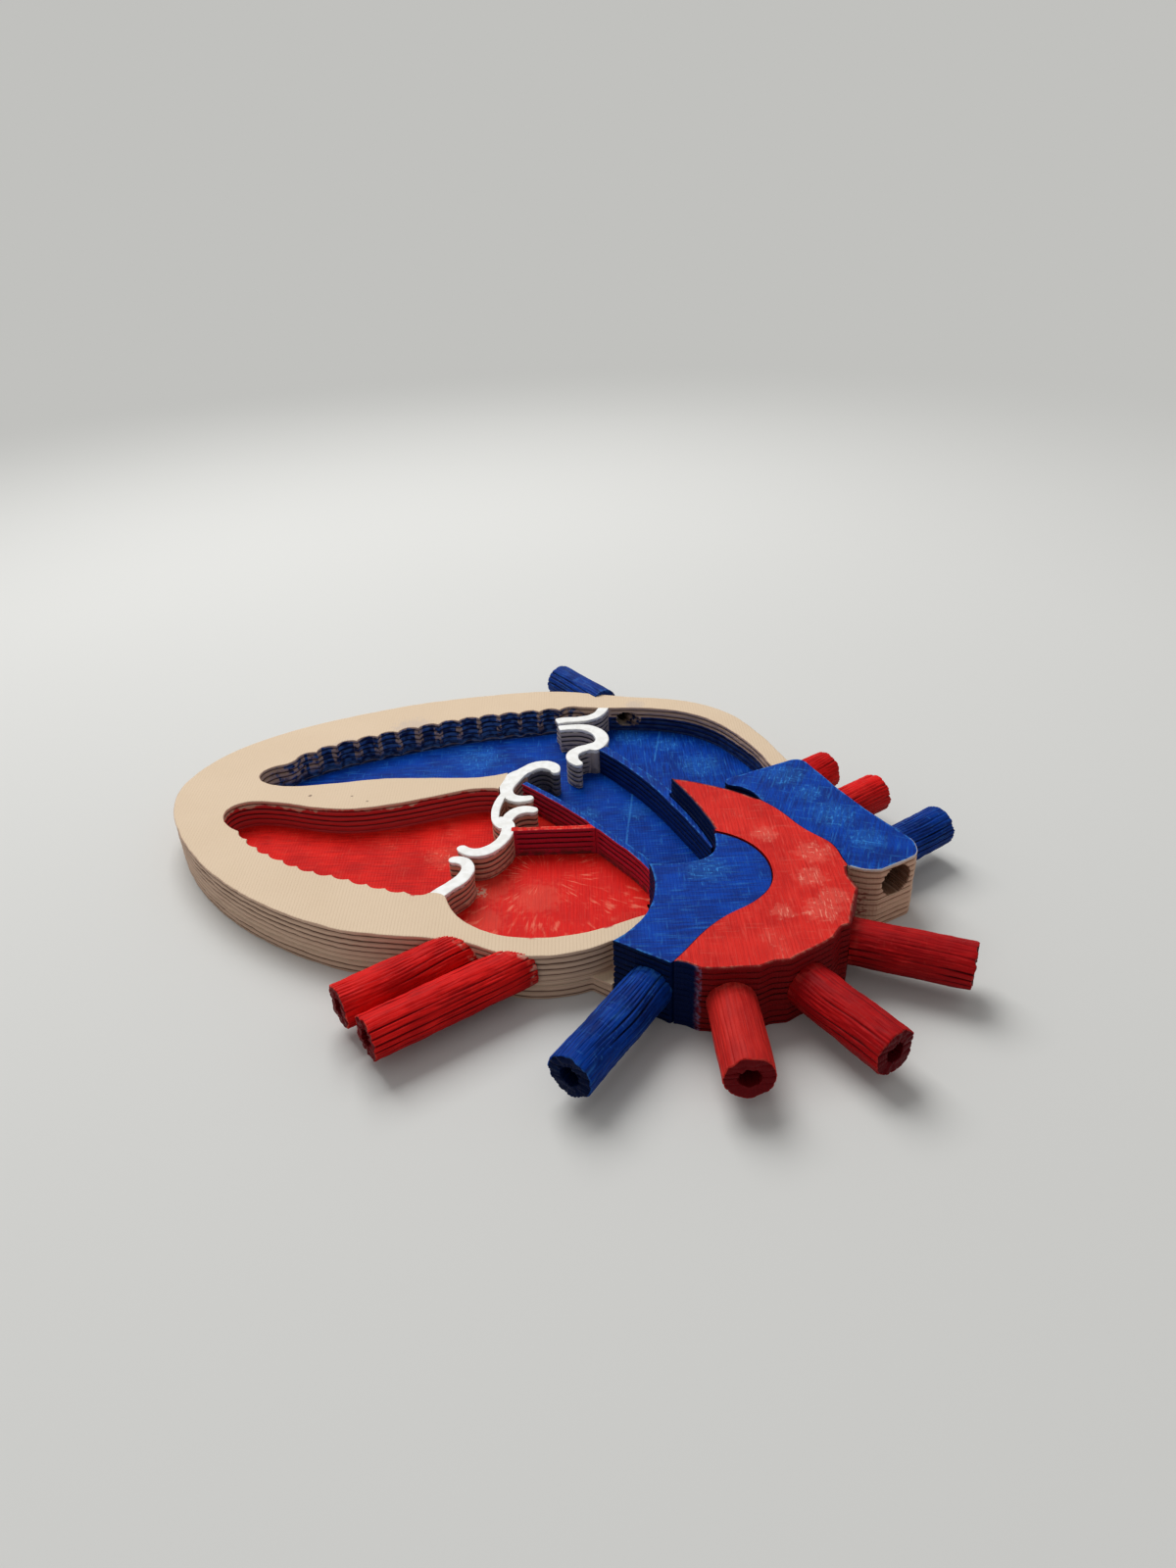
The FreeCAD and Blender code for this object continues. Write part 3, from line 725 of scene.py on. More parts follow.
class Graph:
    """A material's nodes. Its x, y and z are the place on the object in millimetres."""

    def __init__(self, name):
        self.material = bpy.data.materials.new(name)
        self.material.use_nodes = True
        self.tree = self.material.node_tree
        self.tree.nodes.clear()
        self.object = self.node("ShaderNodeTexCoord", {}, {})["Object"]
        apart = self.node("ShaderNodeSeparateXYZ", {}, {"Vector": self.object})
        self.x, self.y, self.z = (apart[axis] * (1 / MM) for axis in "XYZ")
        self.plan = self.vector(self.x, self.y)

    def node(self, kind, settings, sockets):
        """A node of that kind: its settings are set first, then its sockets' values or links."""
        node = self.tree.nodes.new(kind)
        for name, value in settings.items():
            setattr(node, name, value)
        for name, value in sockets.items():
            if isinstance(value, Link):
                self.tree.links.new(value.socket, node.inputs[name])
            else:
                node.inputs[name].default_value = value
        return {output.name: Link(self, output) for output in node.outputs if output.enabled}

    def maths(self, operation, first, second=0.0):
        return self.node("ShaderNodeMath", {"operation": operation}, {0: first, 1: second})["Value"]

    def mixed(self, factor, first, second):
        return self.node("ShaderNodeMix", {"data_type": "RGBA"},
                         {0: factor, 6: first, 7: second})["Result"]

    def vector(self, x, y):
        return self.node("ShaderNodeCombineXYZ", {}, {"X": x, "Y": y})["Vector"]

    def length(self, vector):
        return self.node("ShaderNodeVectorMath", {"operation": "LENGTH"}, {0: vector})["Value"]

    def mark(self, name):
        return self.node("ShaderNodeAttribute", {"attribute_name": name}, {})["Fac"]

    def cloud(self, vector, detail):
        """Noise of about the size 1 in the vector's own unit."""
        return self.node("ShaderNodeTexNoise", {}, {
            "Vector": vector, "Scale": 1.0, "Detail": detail})["Fac"]

    def noise(self, size, detail=2.0, longer=1.0, angle=0.0, taller=1.0):
        """Noise of about that size in millimetres, so many times longer along a direction in the
        plane, and so many times taller."""
        scaled = self.node("ShaderNodeMapping", {"vector_type": "TEXTURE"}, {
            "Vector": self.object, "Rotation": (0, 0, math.radians(angle)),
            "Scale": (size * longer * MM, size * MM, size * taller * MM)})["Vector"]
        return self.cloud(scaled, detail)

    def lines(self, angle, pitch, wander=0.6):
        """Thin parallel lines along a direction in the plane, 0 between them and 1 on them."""
        turn = math.radians(angle)
        across = self.y * math.cos(turn) - self.x * math.sin(turn)
        strayed = across + (self.noise(4.0) - 0.5) * (wander * pitch)
        return self.maths("SINE", strayed * (2 * math.pi / pitch)).rise(0.35, 1.0)

    def spot(self, place, radius, ragged=0.7):
        """1 at a place of the plan, falling to 0 at about the radius, with a ragged edge."""
        gap = self.node("ShaderNodeVectorMath", {"operation": "DISTANCE"},
                        {0: self.plan, 1: (*place, 0)})["Value"]
        frayed = gap + (self.noise(1.2, 3.0) - 0.5) * (2 * ragged * radius)
        return 1 - frayed.rise(0.45 * radius, radius)

    def spots(self, places):
        """The spots together: each is a place and a radius."""
        return reduce(Link.most, [self.spot(place, radius) for place, radius in places])

    def finish(self, colour, roughness, relief, depth, specular=0.2):
        """Ends the material: a plastic or paint surface with a relief in millimetres."""
        bump = self.node("ShaderNodeBump", {}, {
            "Height": relief, "Distance": depth * MM, "Strength": 1.0})
        surface = self.node("ShaderNodeBsdfPrincipled", {}, {
            "Base Color": colour, "Roughness": roughness, "Normal": bump["Normal"],
            "Specular IOR Level": specular})
        self.node("ShaderNodeOutputMaterial", {}, {"Surface": surface["BSDF"]})
        return self.material


def rgb(red, green, blue):
    """A colour given as it looks on a screen, 0 to 255."""
    def linear(value):
        value /= 255
        return value / 12.92 if value <= 0.04045 else ((value + 0.055) / 1.055) ** 2.4
    return (linear(red), linear(green), linear(blue), 1.0)


# ---------------------------------------------------------------- paints
TAN = rgb(222, 198, 169)
TAN_DULL = rgb(215, 190, 160)
# The tan of the sides and the brown of the grooves are painted shade, darker than the top.
TAN_SHADED_SIDE = rgb(206, 174, 150)
TAN_GROOVE_SHADE = rgb(104, 76, 62)
# Each paint as it is on top, in its deeper strokes, where it is thin, on the sides, and in the
# grooves. The colours of the sides and of the grooves are painted shade. The thin colour also serves
# for painted sheen on streaks and painted highlight on edges.
BLUE = (rgb(2, 64, 166), rgb(4, 42, 122), rgb(56, 138, 214), rgb(4, 20, 60), rgb(1, 6, 24))
# A copy of the blue with darker sides and grooves for the pulmonary trunk: painted shade.
SHADED_TRUNK_BLUE = (*BLUE[:3], rgb(3, 14, 42), rgb(1, 5, 18))
TUBE_BLUE = (rgb(6, 56, 146), rgb(4, 34, 100), rgb(60, 124, 196), rgb(3, 10, 34), rgb(2, 10, 40))
RED = (rgb(228, 34, 26), rgb(188, 20, 18), rgb(240, 124, 100), rgb(132, 12, 18), rgb(60, 5, 10))
FLOOR_RED = (rgb(224, 33, 27), rgb(205, 27, 24), *RED[2:])     # evener, under a fan of strokes
AORTA_RED = (rgb(220, 46, 38), rgb(192, 32, 28), rgb(246, 156, 134), rgb(104, 8, 14),
             rgb(50, 4, 9))
TUBE_RED = (rgb(226, 28, 26), rgb(178, 16, 18), rgb(232, 84, 70), rgb(84, 5, 14), rgb(104, 8, 16))
# Darker copies of the tube red for the branches of the arch: painted shade, where less light falls on
# them.
SHADED_ARCH_RED = (rgb(178, 20, 22), rgb(142, 12, 18), rgb(214, 80, 70), rgb(74, 4, 14), rgb(84, 6, 14))
SHADED_SUBCLAVIAN_RED = (rgb(200, 42, 36), rgb(172, 32, 30), rgb(218, 88, 76), rgb(84, 5, 14),
                  rgb(104, 8, 16))
SHADED_ARCH_REDS = {
    "brachiocephalic_trunk": SHADED_ARCH_RED,
    "left_carotid_artery": SHADED_ARCH_RED,
    "left_subclavian_artery": SHADED_SUBCLAVIAN_RED,
}
WHITE = rgb(246, 246, 244)
WHITE_DULL = rgb(236, 235, 231)
BLUE_STREAKS = 0.3      # share of pale streaks in a coat, partly painted sheen along the brush strokes
RED_STREAKS = 0.1
RASTER = 62.0           # direction of the print lines of every top face, in degrees
ACROSS = RASTER + 90.0
RASTER_PITCH = 0.6
UNDERSIDE = (2.2, 7.0)  # heights over which the painted shade on a tube's underside gives way upwards

# Places of the plan, each with a radius: where a piece's coat is thin and flecked.
THIN = {
    "right_atrium_floor": [((-37, -14), 5.0), ((-42, -6), 4.0), ((-43, 6), 6.0)],
    "right_ventricle_floor": [((-2, -24), 7.0), ((-21, 14), 4.0), ((-12, 10), 3.0)],
    "left_ventricle_floor": [((20, 8), 5.0)],
    "pulmonary_trunk": [((-14, 50), 5.0)],
    "superior_vena_cava": [
        ((-45.8, 32), 5.0), ((-45.5, 40), 4.0), ((-44.6, 48.3), 5.5), ((-44.2, 58.0), 4.5)],
    "aorta": [
        ((-33, 56.5), 4.0), ((-27.5, 68.4), 3.5), ((-24, 70), 4.0), ((-18, 67), 2.5),
        ((-28, 62), 3.5), ((-29.5, 47), 3.0)],
}
# Straight scratches, each from one place of the plan to another.
SCRATCHES = {
    "right_atrium_floor": [((-45.3, -14.0), (-35.0, -0.6))],
    "right_ventricle_floor": [((-25.3, 6.2), (-8.9, 29.3))],
}
# The fan of pale strokes on the left atrium's floor, brush strokes partly painted as sheen: where it
# starts, and how fine the strokes are round that place and away from it.
FAN_CENTRE = (6.0, 24.0)
FAN_AROUND = 16.0
FAN_AWAY = 0.28
# More places of the plan with a radius: on the left atrium's floor, on the slab's top, in the
# wall where the lower vena cava opens, and on the end of the upper one.
FAN_HAZE = [((17, 22), 6.0), ((10, 30), 6.0), ((22, 31), 5.0)]
BARE_PATCH = ((19.3, 22.2), 2.2)
SMUDGES = [((9, -35.5), 6.0), ((25, -36), 4.0), ((-40, -17), 3.0)]
SPECKS = [((38.5, -19.7), 0.45), ((31, -14.7), 0.3), ((32.6, -9), 0.35), ((28.9, -11.1), 0.4)]
LOWER_CAVA_MOUTH = ((-37.3, -22.6), 5.0)
CAVA_STAIN = ((-36.8, 65.4), 2.0)
UPPER_CAVA_BORE = (-44.0, 9.5)  # x and height of the bore's axis


def plastic(graph):
    """Bare tan plastic: pale and finely lined on top, browner and darker on the sides as painted
    shade, and darker still as painted shade along fine lines and in the grooves between layers.
    """
    lines = graph.lines(RASTER, RASTER_PITCH, 0.3)
    top = graph.mixed(lines * 0.25 + graph.noise(14.0, 1.0).rise(0.35, 0.65) * 0.3, TAN, TAN_DULL)
    # Painted shade: fine lines and the grooves between layers darken the sides.
    fine = graph.maths("SINE", graph.z * (4 * math.pi / LAYER)).rise(0.2, 1.0)
    side = graph.mixed(fine * 0.22, TAN_SHADED_SIDE, TAN_GROOVE_SHADE)
    side = graph.mixed(graph.mark("groove").rise(0.05, 0.6), side, TAN_GROOVE_SHADE)
    return graph.mixed(graph.mark("wall").rise(0.3, 0.9), top, side)


def paint(graph, colours, angle=RASTER, places=(), raster=RASTER, edge_wear_and_highlight=0.6):
    """Brushed paint: strokes along one direction over fine print lines along another, pale streaks
    that are partly painted sheen, flecks where the coat is thin and at the places given, top edges
    paler by a share as worn paint and painted highlight, sides darker as painted shade and grooves
    darker still as painted shade. Gives the colour, the strokes and the print lines."""
    main, deep, thin, side, crevice = colours
    stroke = graph.noise(0.4, 3.0, 14.0, angle)
    cloud = graph.noise(6.0, 3.0)
    body = graph.mixed((stroke * 0.55 + cloud * 0.45).rise(0.36, 0.62), deep, main)
    # Pale crosshatched streaks along the strokes, in the thin colour: partly painted sheen.
    streaks = graph.noise(0.5, 2.0, 9.0, angle).most(graph.noise(0.6, 2.0, 7.0, angle + 90) * 0.97)
    streaky = BLUE_STREAKS if main[2] > main[0] else RED_STREAKS
    body = graph.mixed(streaks.rise(0.56, 0.74) * streaky, body, thin)
    lines = graph.lines(raster, RASTER_PITCH, 0.4)
    body = graph.mixed(lines * 0.22, body, deep)
    flecks = graph.noise(0.36, 2.0, 5.0, angle).rise(0.58, 0.7)
    flecks = flecks.most(graph.noise(0.4, 2.0, 4.0, angle + 90).rise(0.6, 0.72))
    bare = graph.noise(9.0, 3.0).rise(0.55, 0.75) * 0.3
    if places:
        bare = bare.most(graph.spots(places) * 0.8)
    # Paler top edges, in the thin colour: worn paint and painted highlight.
    wear_and_highlight = graph.mark("edge") * graph.noise(1.2, 3.0).rise(0.44, 0.62) * edge_wear_and_highlight
    colour = graph.mixed(((flecks * 0.8 + 0.16) * bare).most(wear_and_highlight), body, thin)
    # Sides and grooves darker: painted shade.
    wall = graph.mark("wall").rise(0.5, 1.0)
    colour = graph.mixed(wall * 0.9, colour, side)
    return graph.mixed(graph.mark("groove").rise(0.08, 0.6) * 0.92, colour, crevice), stroke, lines


def scratch(graph, start, end, width=0.3):
    """1 along a straight scratch of the plan: near to the line through two places and between
    them."""
    long_x, long_y = end[0] - start[0], end[1] - start[1]
    length = math.hypot(long_x, long_y)
    x, y = graph.x - start[0], graph.y - start[1]
    along = (x * long_x + y * long_y) * (1 / length)
    across = graph.maths("ABSOLUTE", (x * long_y - y * long_x) * (1 / length))
    between = along.rise(0, 1) * (1 - along.rise(length - 1, length))
    return (1 - across.rise(width * 0.3, width)) * between


def brushed(graph, colour, stroke, lines):
    """Dull paint over the colour, with its strokes and the print lines in relief."""
    return graph.finish(colour, stroke * 0.3 + 0.32, stroke * 0.7 + lines * 0.3, 0.1, 0.05)


def tube_paint(name, colours, angle):
    """Tube paint with its strokes along the tube, darker towards its underside as painted shade."""
    graph = Graph(name)
    colour, stroke, lines = paint(graph, colours, angle, raster=angle, edge_wear_and_highlight=0.25)
    # Painted shade on the tube's underside.
    low = (1 - graph.z.rise(*UNDERSIDE)) * 0.75
    colour = graph.mixed(low * (1 - graph.mark("wall")), colour, colours[3])
    return brushed(graph, colour, stroke, lines)


def painted(name, colours, angle, node):
    """Brushed paint with the node's thin places and its scratches."""
    graph = Graph(name)
    colour, stroke, lines = paint(graph, colours, angle, THIN[node])
    for start, end in SCRATCHES.get(node, ()):
        shown = scratch(graph, start, end) * graph.noise(1.5, 2.0).rise(0.3, 0.5)
        colour = graph.mixed(shown * 0.4, colour, colours[2])
    return brushed(graph, colour, stroke, lines)


def swirled(name, colours, centre):
    """Brushed paint with pale strokes that fan out from a place, brush strokes partly painted as
    sheen: noise of the direction from it, much finer round it than along. Where the coat is missing,
    the plastic shows in the tan of the shaded sides."""
    graph = Graph(name)
    colour, stroke, lines = paint(graph, colours)
    x, y = graph.x - centre[0], graph.y - centre[1]
    turn = graph.maths("ARCTAN2", y, x)
    away = graph.maths("SQRT", x * x + y * y)
    fan = graph.cloud(graph.vector(turn * FAN_AROUND, away * FAN_AWAY), 3.0)
    shown = fan.rise(0.52, 0.7) * graph.noise(6.0, 2.0).rise(0.4, 0.6) * away.rise(2, 5)
    haze = graph.spots(FAN_HAZE) * 0.16
    colour = graph.mixed((shown * 0.7).most(haze), colour, colours[2])
    bare = graph.spot(*BARE_PATCH) * graph.noise(0.7, 3.0).rise(0.42, 0.52)
    colour = graph.mixed(bare * 0.85, colour, TAN_SHADED_SIDE)
    return brushed(graph, colour, stroke, lines * 0.35)


def layer_paint(graph, body, crevice):
    """Paint on a side wall, darkened in the grooves between layers as painted shade."""
    return graph.mixed(graph.mark("groove").rise(0.05, 0.55), body, crevice)


def heart_wall():
    """Bare plastic, with paint run up the walls of the chambers to a ragged edge, darkest in the
    grooves between layers as painted shade. The ridges of the lobed walls and the tips of the
    chambers are left bare in part, the rim of the right chambers' floor is painted dark blue as
    painted shade, the opening of the lower vena cava is painted dark brown as painted shade, and the
    top has smudges and specks."""
    graph = Graph("heart_wall")
    wall = graph.mark("wall")
    top = 1 - wall
    ragged = graph.noise(1.3, 3.0)
    atrium = 1 - graph.x.rise(-31, -27)
    apex = 1 - graph.x.rise(41, 44)
    right_half = 1 - (graph.y + graph.x * 0.53 + 2).rise(-1, 1)
    below_top = SLAB_TOP - graph.z + (ragged - 0.5) * (1.5 - atrium * 1.2)
    ridge = graph.mark("crest").rise(0.02, 0.35) * ragged.rise(0.4, 0.56) * graph.z.rise(3.9, 6.4)
    blue = graph.mark("blue") * (below_top - atrium * 2.2).rise(0.1, 0.5) * (1 - ridge * 0.85) * apex
    drips = (graph.noise(3.5, 2.0, taller=4.0) - 0.5) * 5.0
    red = graph.mark("red") * (below_top + drips).rise(0.7, 1.2)
    patches = graph.noise(1.6, 3.0, taller=0.6).rise(0.4, 0.6) * (1 - atrium * 0.8)
    dapple = graph.mixed(patches, rgb(12, 34, 84), rgb(56, 96, 160))
    # The ledge at the floors' level: blue paint, darkened as painted shade under the walls.
    shelf = (1 - wall.rise(0.3, 0.9)) * graph.z.rise(2.6, 3.2) * (1 - graph.z.rise(4.4, 5.0))
    # The opening of the lower vena cava: painted shade in dark brown.
    mouth_shade = graph.spot(*LOWER_CAVA_MOUTH, 0.2) * wall * (1 - graph.z.rise(8.6, 9.2))
    colour = plastic(graph)
    colour = graph.mixed(graph.spots(SMUDGES) * 0.16 * top, colour, rgb(120, 134, 172))
    colour = graph.mixed(shelf * right_half, colour, rgb(6, 26, 76))
    # The chamber walls' paint turns dark in the grooves: painted shade.
    colour = graph.mixed(blue, colour, layer_paint(graph, dapple, rgb(5, 12, 36)))
    colour = graph.mixed(red, colour, layer_paint(graph, rgb(188, 50, 52), rgb(74, 16, 20)))
    colour = graph.mixed(graph.spots(SPECKS) * 0.7, colour, rgb(96, 72, 62))
    colour = graph.mixed(mouth_shade * (1 - graph.mark("blue")), colour, rgb(44, 28, 24))
    fine = graph.noise(0.3, 2.0)
    lines = graph.lines(RASTER, RASTER_PITCH, 0.3) * top
    return graph.finish(colour, fine * 0.15 + 0.5, fine * 0.4 + lines * 0.6, 0.05, 0.2)


def flap_paint(name, bead, crevice, smear):
    """White paint on the top layer of a valve flap, over sides in two tones by layer that are smeared
    with the chamber's paint near the floor. The darker tone, in the grooves between layers, is
    painted shade."""
    graph = Graph(name)
    ragged = graph.noise(1.1, 2.0)
    white = graph.mixed(graph.noise(1.6, 2.0).rise(0.4, 0.62), WHITE, WHITE_DULL)
    side = graph.mixed(graph.mark("groove").rise(0.03, 0.4), bead, crevice)
    side = graph.mixed((1 - graph.z.rise(4.0, 7.0)) * ragged.rise(0.42, 0.58) * 0.55, side, smear)
    deep = (SLAB_TOP - graph.z + (ragged - 0.5) * 0.5).rise(0.75, 1.0) * graph.mark("wall")
    colour = graph.mixed(deep, white, side)
    return graph.finish(colour, ragged * 0.2 + 0.35, ragged, 0.04, 0.25)


def cava_paint():
    """Blue paint, with the end of the block and its bore left bare under a rough whitish edge, and a
    red stain low on that end. Inside the bore the plastic turns dark brown further in, as painted
    shade."""
    graph = Graph("cava_paint")
    colour, stroke, lines = paint(graph, BLUE, RASTER - 20, THIN["superior_vena_cava"])
    bare = graph.mark("wall").rise(0.3, 0.7).most(1 - graph.z.rise(12.4, 12.9))
    bare = graph.y.rise(61.8, 62.6) * bare
    axis_x, axis_z = UPPER_CAVA_BORE
    from_axis = graph.length(graph.vector(graph.x - axis_x, graph.z - axis_z))
    inside_bore = (1 - from_axis.rise(3.25, 3.45)) * (1 - graph.y.rise(66.3, 66.6))
    # Painted shade inside the bore, darker further in.
    bore_shade = graph.mixed(graph.y.rise(56, 66.5), rgb(30, 20, 16), rgb(136, 100, 78))
    rough = (graph.noise(0.8, 3.0) - 0.5) * 0.8
    seam = bare * (graph.z + rough).rise(12.85, 13.1)
    streak = graph.noise(0.9, 3.0, taller=0.4).rise(0.44, 0.56)
    low = graph.z.rise(2.4, 3.4) * (1 - graph.z.rise(7.6, 9.0))
    stain = graph.spot(*CAVA_STAIN) * bare * low * streak
    colour = graph.mixed(bare, colour, graph.mixed(0.18, plastic(graph), rgb(250, 184, 150)))
    colour = graph.mixed(inside_bore, colour, bore_shade)
    colour = graph.mixed(seam * 0.8, colour, rgb(206, 204, 206))
    colour = graph.mixed(stain * 0.8, colour, RED[3])
    return brushed(graph, colour, stroke, lines)


def aorta_paint():
    """Red paint, smooth high on the sides, with blue on the side of its tip and at the corner beside
    the pulmonary trunk. The dark red and the dark blue on the sides are painted shade."""
    graph = Graph("aorta_paint")
    colour, stroke, lines = paint(graph, AORTA_RED, RASTER, THIN["aorta"])
    wall = graph.mark("wall").rise(0.4, 0.8)
    smooth = graph.z.rise(8.8, 10.6) * graph.noise(2.0, 2.0).rise(0.3, 0.6)
    # A smoother dark red high on the sides, where the grooves show less. Its darkness is painted
    # shade.
    colour = graph.mixed(wall * smooth * 0.6, colour, rgb(122, 12, 18))
    tip = graph.x.rise(-27.4, -26.6) * (1 - graph.y.rise(40, 42))
    corner = graph.x.rise(2.0, 2.6)
    # The blue on the sides takes the blue's darker side colour: painted shade.
    colour = graph.mixed(tip.most(corner) * wall, colour, BLUE[3])
    stripe = graph.x.rise(1.7, 2.0) * (1 - graph.x.rise(2.2, 2.6))
    stripe = stripe * graph.noise(0.7, 3.0).rise(0.42, 0.6)
    colour = graph.mixed(stripe * wall * 0.4, colour, rgb(120, 130, 170))
    return brushed(graph, colour, stroke, lines)


def divider_paint(name, colours):
    """Blue or red wall between chambers, in the colour of the chamber that each side looks onto.
    Low on its red sides the coat is thin and the plastic shows through."""
    graph = Graph(name)
    colour, stroke, lines = paint(graph, colours)
    wall = graph.mark("wall").rise(0.4, 0.8)
    # The sides in each chamber's colour, darker than the top and darkest in the grooves: painted
    # shade.
    red = layer_paint(graph, rgb(176, 38, 58), rgb(70, 10, 22))
    blue = layer_paint(graph, rgb(14, 40, 100), BLUE[4])
    colour = graph.mixed(wall * graph.mark("red"), colour, red)
    colour = graph.mixed(wall * graph.mark("blue"), colour, blue)
    low = (1 - graph.z.rise(4.0, 5.8)) * graph.mark("red")
    thin = low * graph.noise(1.4, 3.0).rise(0.4, 0.56)
    colour = graph.mixed(thin * wall * 0.7, colour, rgb(84, 50, 42))
    return brushed(graph, colour, stroke, lines)


def vein_paint(name, colours, angle):
    """Red tube paint that leaves pale flecks of plastic where the tube meets the heart wall, and is
    darker towards its underside as painted shade.
    """
    graph = Graph(name)
    colour, stroke, lines = paint(graph, colours, angle, raster=angle)
    frayed = graph.mark("edge") * (1 - graph.x.rise(34, 37)) * graph.noise(1.6, 2.0).rise(0.5, 0.6)
    colour = graph.mixed(frayed * 0.7, colour, rgb(214, 170, 150))
    # Painted shade on the vein's underside.
    low = (1 - graph.z.rise(*UNDERSIDE)) * 0.6
    colour = graph.mixed(low, colour, colours[3])
    return brushed(graph, colour, stroke, lines)


# The side tones are painted shade: the grooves' colours throughout, and the darker grey of the
# pulmonary medial cusp's sides.
aortic_flap = flap_paint("aortic_flap", rgb(200, 152, 130), rgb(92, 46, 38), rgb(140, 28, 26))
septal_flap = flap_paint("septal_flap", rgb(178, 166, 160), rgb(34, 32, 48), rgb(20, 40, 92))
pulmonary_flap = flap_paint("pulmonary_flap", rgb(104, 98, 104), rgb(10, 16, 36), rgb(10, 26, 66))


UPRIGHT = {
    "heart_body": ("tan_print", heart_wall()),
    "right_atrium_floor": (
        "blue_paint", painted("atrium_blue", BLUE, RASTER, "right_atrium_floor")),
    "right_ventricle_floor": (
        "blue_paint", painted("ventricle_blue", BLUE, -26.0, "right_ventricle_floor")),
    "left_atrium_floor": ("red_paint", swirled("atrium_red", FLOOR_RED, FAN_CENTRE)),
    "left_ventricle_floor": (
        "red_paint", painted("ventricle_red", RED, -30.0, "left_ventricle_floor")),
    "conus_wall": ("blue_paint", divider_paint("conus_paint", BLUE)),
    "outflow_septum": ("blue_paint", divider_paint("septum_paint", BLUE)),
    "atrial_root_wall": ("red_paint", divider_paint("root_paint", RED)),
    "pulmonary_trunk": (
        "blue_paint", painted("pulmonary_paint", SHADED_TRUNK_BLUE, ACROSS, "pulmonary_trunk")),
    "superior_vena_cava": ("blue_paint", cava_paint()),
    "aorta": ("red_paint", aorta_paint()),
}
for name in FLAPS:
    UPRIGHT[name] = ("white_paint", aortic_flap)
for name in ("tricuspid_septal_leaflet", "tricuspid_lateral_leaflet", "pulmonary_lateral_cusp"):
    UPRIGHT[name] = ("white_paint", septal_flap)
UPRIGHT["pulmonary_medial_cusp"] = ("white_paint", pulmonary_flap)

for node, (slot, material) in UPRIGHT.items():
    layered(node, slot, material)
for node in BLUE_TUBES:
    tube(node, "blue_paint", tube_paint, TUBE_BLUE)
for node in RED_TUBES:
    tube(node, "red_paint", tube_paint, SHADED_ARCH_REDS.get(node, TUBE_RED))
for node in SLAB_VEINS:
    tube(node, "red_paint", vein_paint, TUBE_RED)


# ---------------------------------------------------------------- floor and light
BACKGROUND = rgb(193, 193, 190)
FLOOR_REACH = 30.0      # in metres
FLOOR_FADE = (180, 520)     # distances at which the floor starts and ends its fading
WORLD_STRENGTH = 0.38
KEY_PLACE = (-0.02, -0.5, 0.75)     # in metres, as is its size
KEY_SIZE = 0.6
KEY_POWER = 6.7


def sight(tree):
    """A factor that is 1 for the camera and for what reflects or lets through the background."""
    path = tree.nodes.new("ShaderNodeLightPath")
    total = path.outputs["Is Camera Ray"]
    for name in ("Is Glossy Ray", "Is Transmission Ray"):
        either = tree.nodes.new("ShaderNodeMath")
        either.operation = "MAXIMUM"
        tree.links.new(total, either.inputs[0])
        tree.links.new(path.outputs[name], either.inputs[1])
        total = either.outputs[0]
    return total


def add_floor():
    """A wide floor that fades into the background away from the object."""
    mesh = bpy.data.meshes.new("floor")
    corners = [(x * FLOOR_REACH, y * FLOOR_REACH, 0) for x, y in ((-1, -1), (1, -1), (1, 1), (-1, 1))]
    mesh.from_pydata(corners, [], [(0, 1, 2, 3)])
    floor = bpy.data.objects.new("floor", mesh)
    bpy.context.scene.collection.objects.link(floor)
    graph = Graph("floor")
    tone = graph.noise(300.0, 2.0)
    colour = graph.mixed(tone, rgb(212, 212, 209), rgb(217, 217, 214))
    near = graph.node("ShaderNodeBsdfPrincipled", {}, {
        "Base Color": colour, "Roughness": 0.7, "Specular IOR Level": 0.1})["BSDF"]
    far = graph.node("ShaderNodeEmission", {}, {"Color": BACKGROUND, "Strength": 1.0})["Emission"]
    away = graph.length(graph.plan).rise(*FLOOR_FADE)
    seen = Link(graph, sight(graph.tree))
    mixed = graph.node("ShaderNodeMixShader", {}, {0: seen * away, 1: near, 2: far})["Shader"]
    graph.node("ShaderNodeOutputMaterial", {}, {"Surface": mixed})
    mesh.materials.append(graph.material)


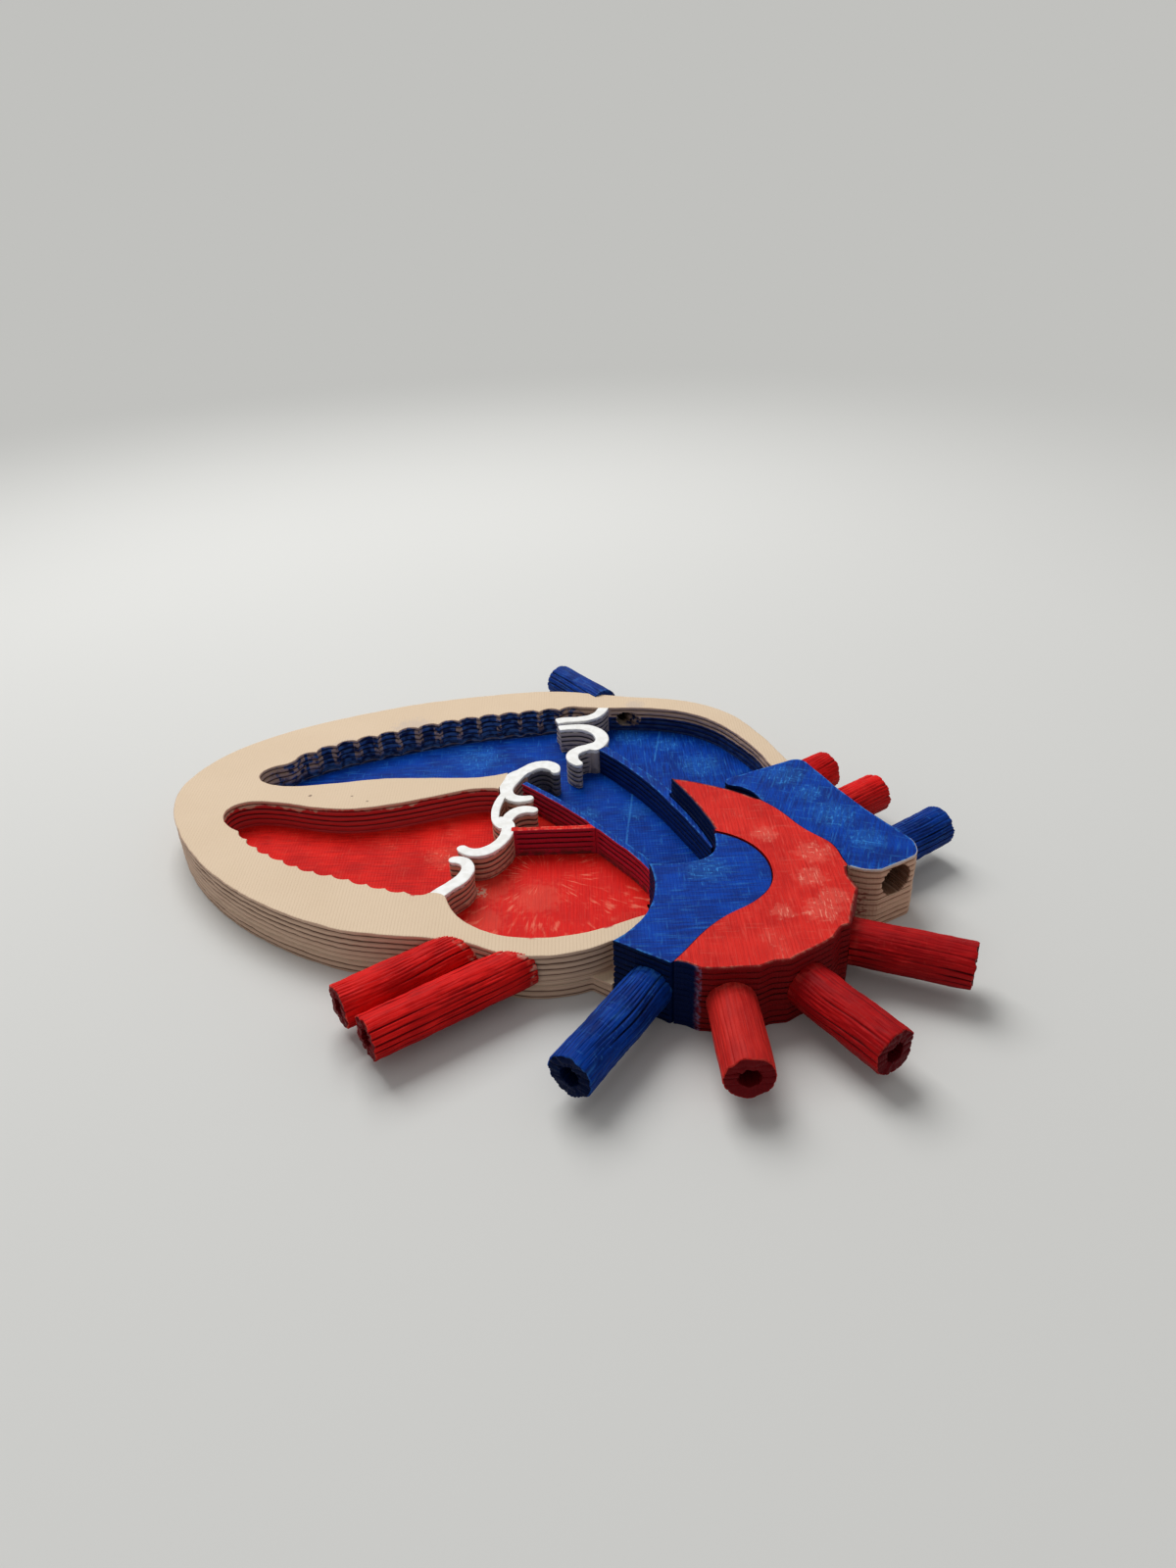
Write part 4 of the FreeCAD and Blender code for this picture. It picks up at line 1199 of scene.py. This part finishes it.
def add_world():
    """Even pale light from all sides. The camera sees the background's colour in its place."""
    world = bpy.data.worlds.new("studio")
    bpy.context.scene.world = world
    world.use_nodes = True
    tree = world.node_tree
    tree.nodes.clear()
    light = tree.nodes.new("ShaderNodeBackground")
    light.inputs["Strength"].default_value = WORLD_STRENGTH
    light.inputs["Color"].default_value = (1, 1, 1, 1)
    pale = tree.nodes.new("ShaderNodeBackground")
    pale.inputs["Color"].default_value = BACKGROUND
    mix = tree.nodes.new("ShaderNodeMixShader")
    output = tree.nodes.new("ShaderNodeOutputWorld")
    tree.links.new(sight(tree), mix.inputs[0])
    tree.links.new(light.outputs[0], mix.inputs[1])
    tree.links.new(pale.outputs[0], mix.inputs[2])
    tree.links.new(mix.outputs[0], output.inputs["Surface"])


def add_lamp(name, place, size, power):
    """A square soft lamp that faces the middle of the object."""
    data = bpy.data.lights.new(name, "AREA")
    data.size = size
    data.energy = power
    lamp = bpy.data.objects.new(name, data)
    lamp.location = place
    lamp.rotation_euler = (-Vector(place)).to_track_quat("-Z", "Y").to_euler()
    bpy.context.scene.collection.objects.link(lamp)


# ---------------------------------------------------------------- camera
EYE = Vector((75.44, 174.61, 126.33)) * MM
HEADING = math.radians(242.0)
TILT = math.radians(31.73)
ROLL = math.radians(-2.57)
FOCAL_LENGTH = 24.19


def add_camera():
    """The camera at its eye, turned by its heading, tilt and roll."""
    ahead = Vector((
        math.cos(HEADING) * math.cos(TILT), math.sin(HEADING) * math.cos(TILT), -math.sin(TILT)))
    level = ahead.cross(Vector((0, 0, 1))).normalized()
    upright = level.cross(ahead)
    right = level * math.cos(ROLL) + upright * math.sin(ROLL)
    up = upright * math.cos(ROLL) - level * math.sin(ROLL)
    data = bpy.data.cameras.new("camera")
    data.lens = FOCAL_LENGTH
    data.clip_start = 0.01
    camera = bpy.data.objects.new("camera", data)
    camera.matrix_world = Matrix((
        (right.x, up.x, -ahead.x, EYE.x),
        (right.y, up.y, -ahead.y, EYE.y),
        (right.z, up.z, -ahead.z, EYE.z),
        (0, 0, 0, 1),
    ))
    bpy.context.scene.collection.objects.link(camera)
    bpy.context.scene.camera = camera


add_floor()
add_world()
add_lamp("key", KEY_PLACE, KEY_SIZE, KEY_POWER)
add_camera()
bpy.context.scene.view_settings.view_transform = "Standard"
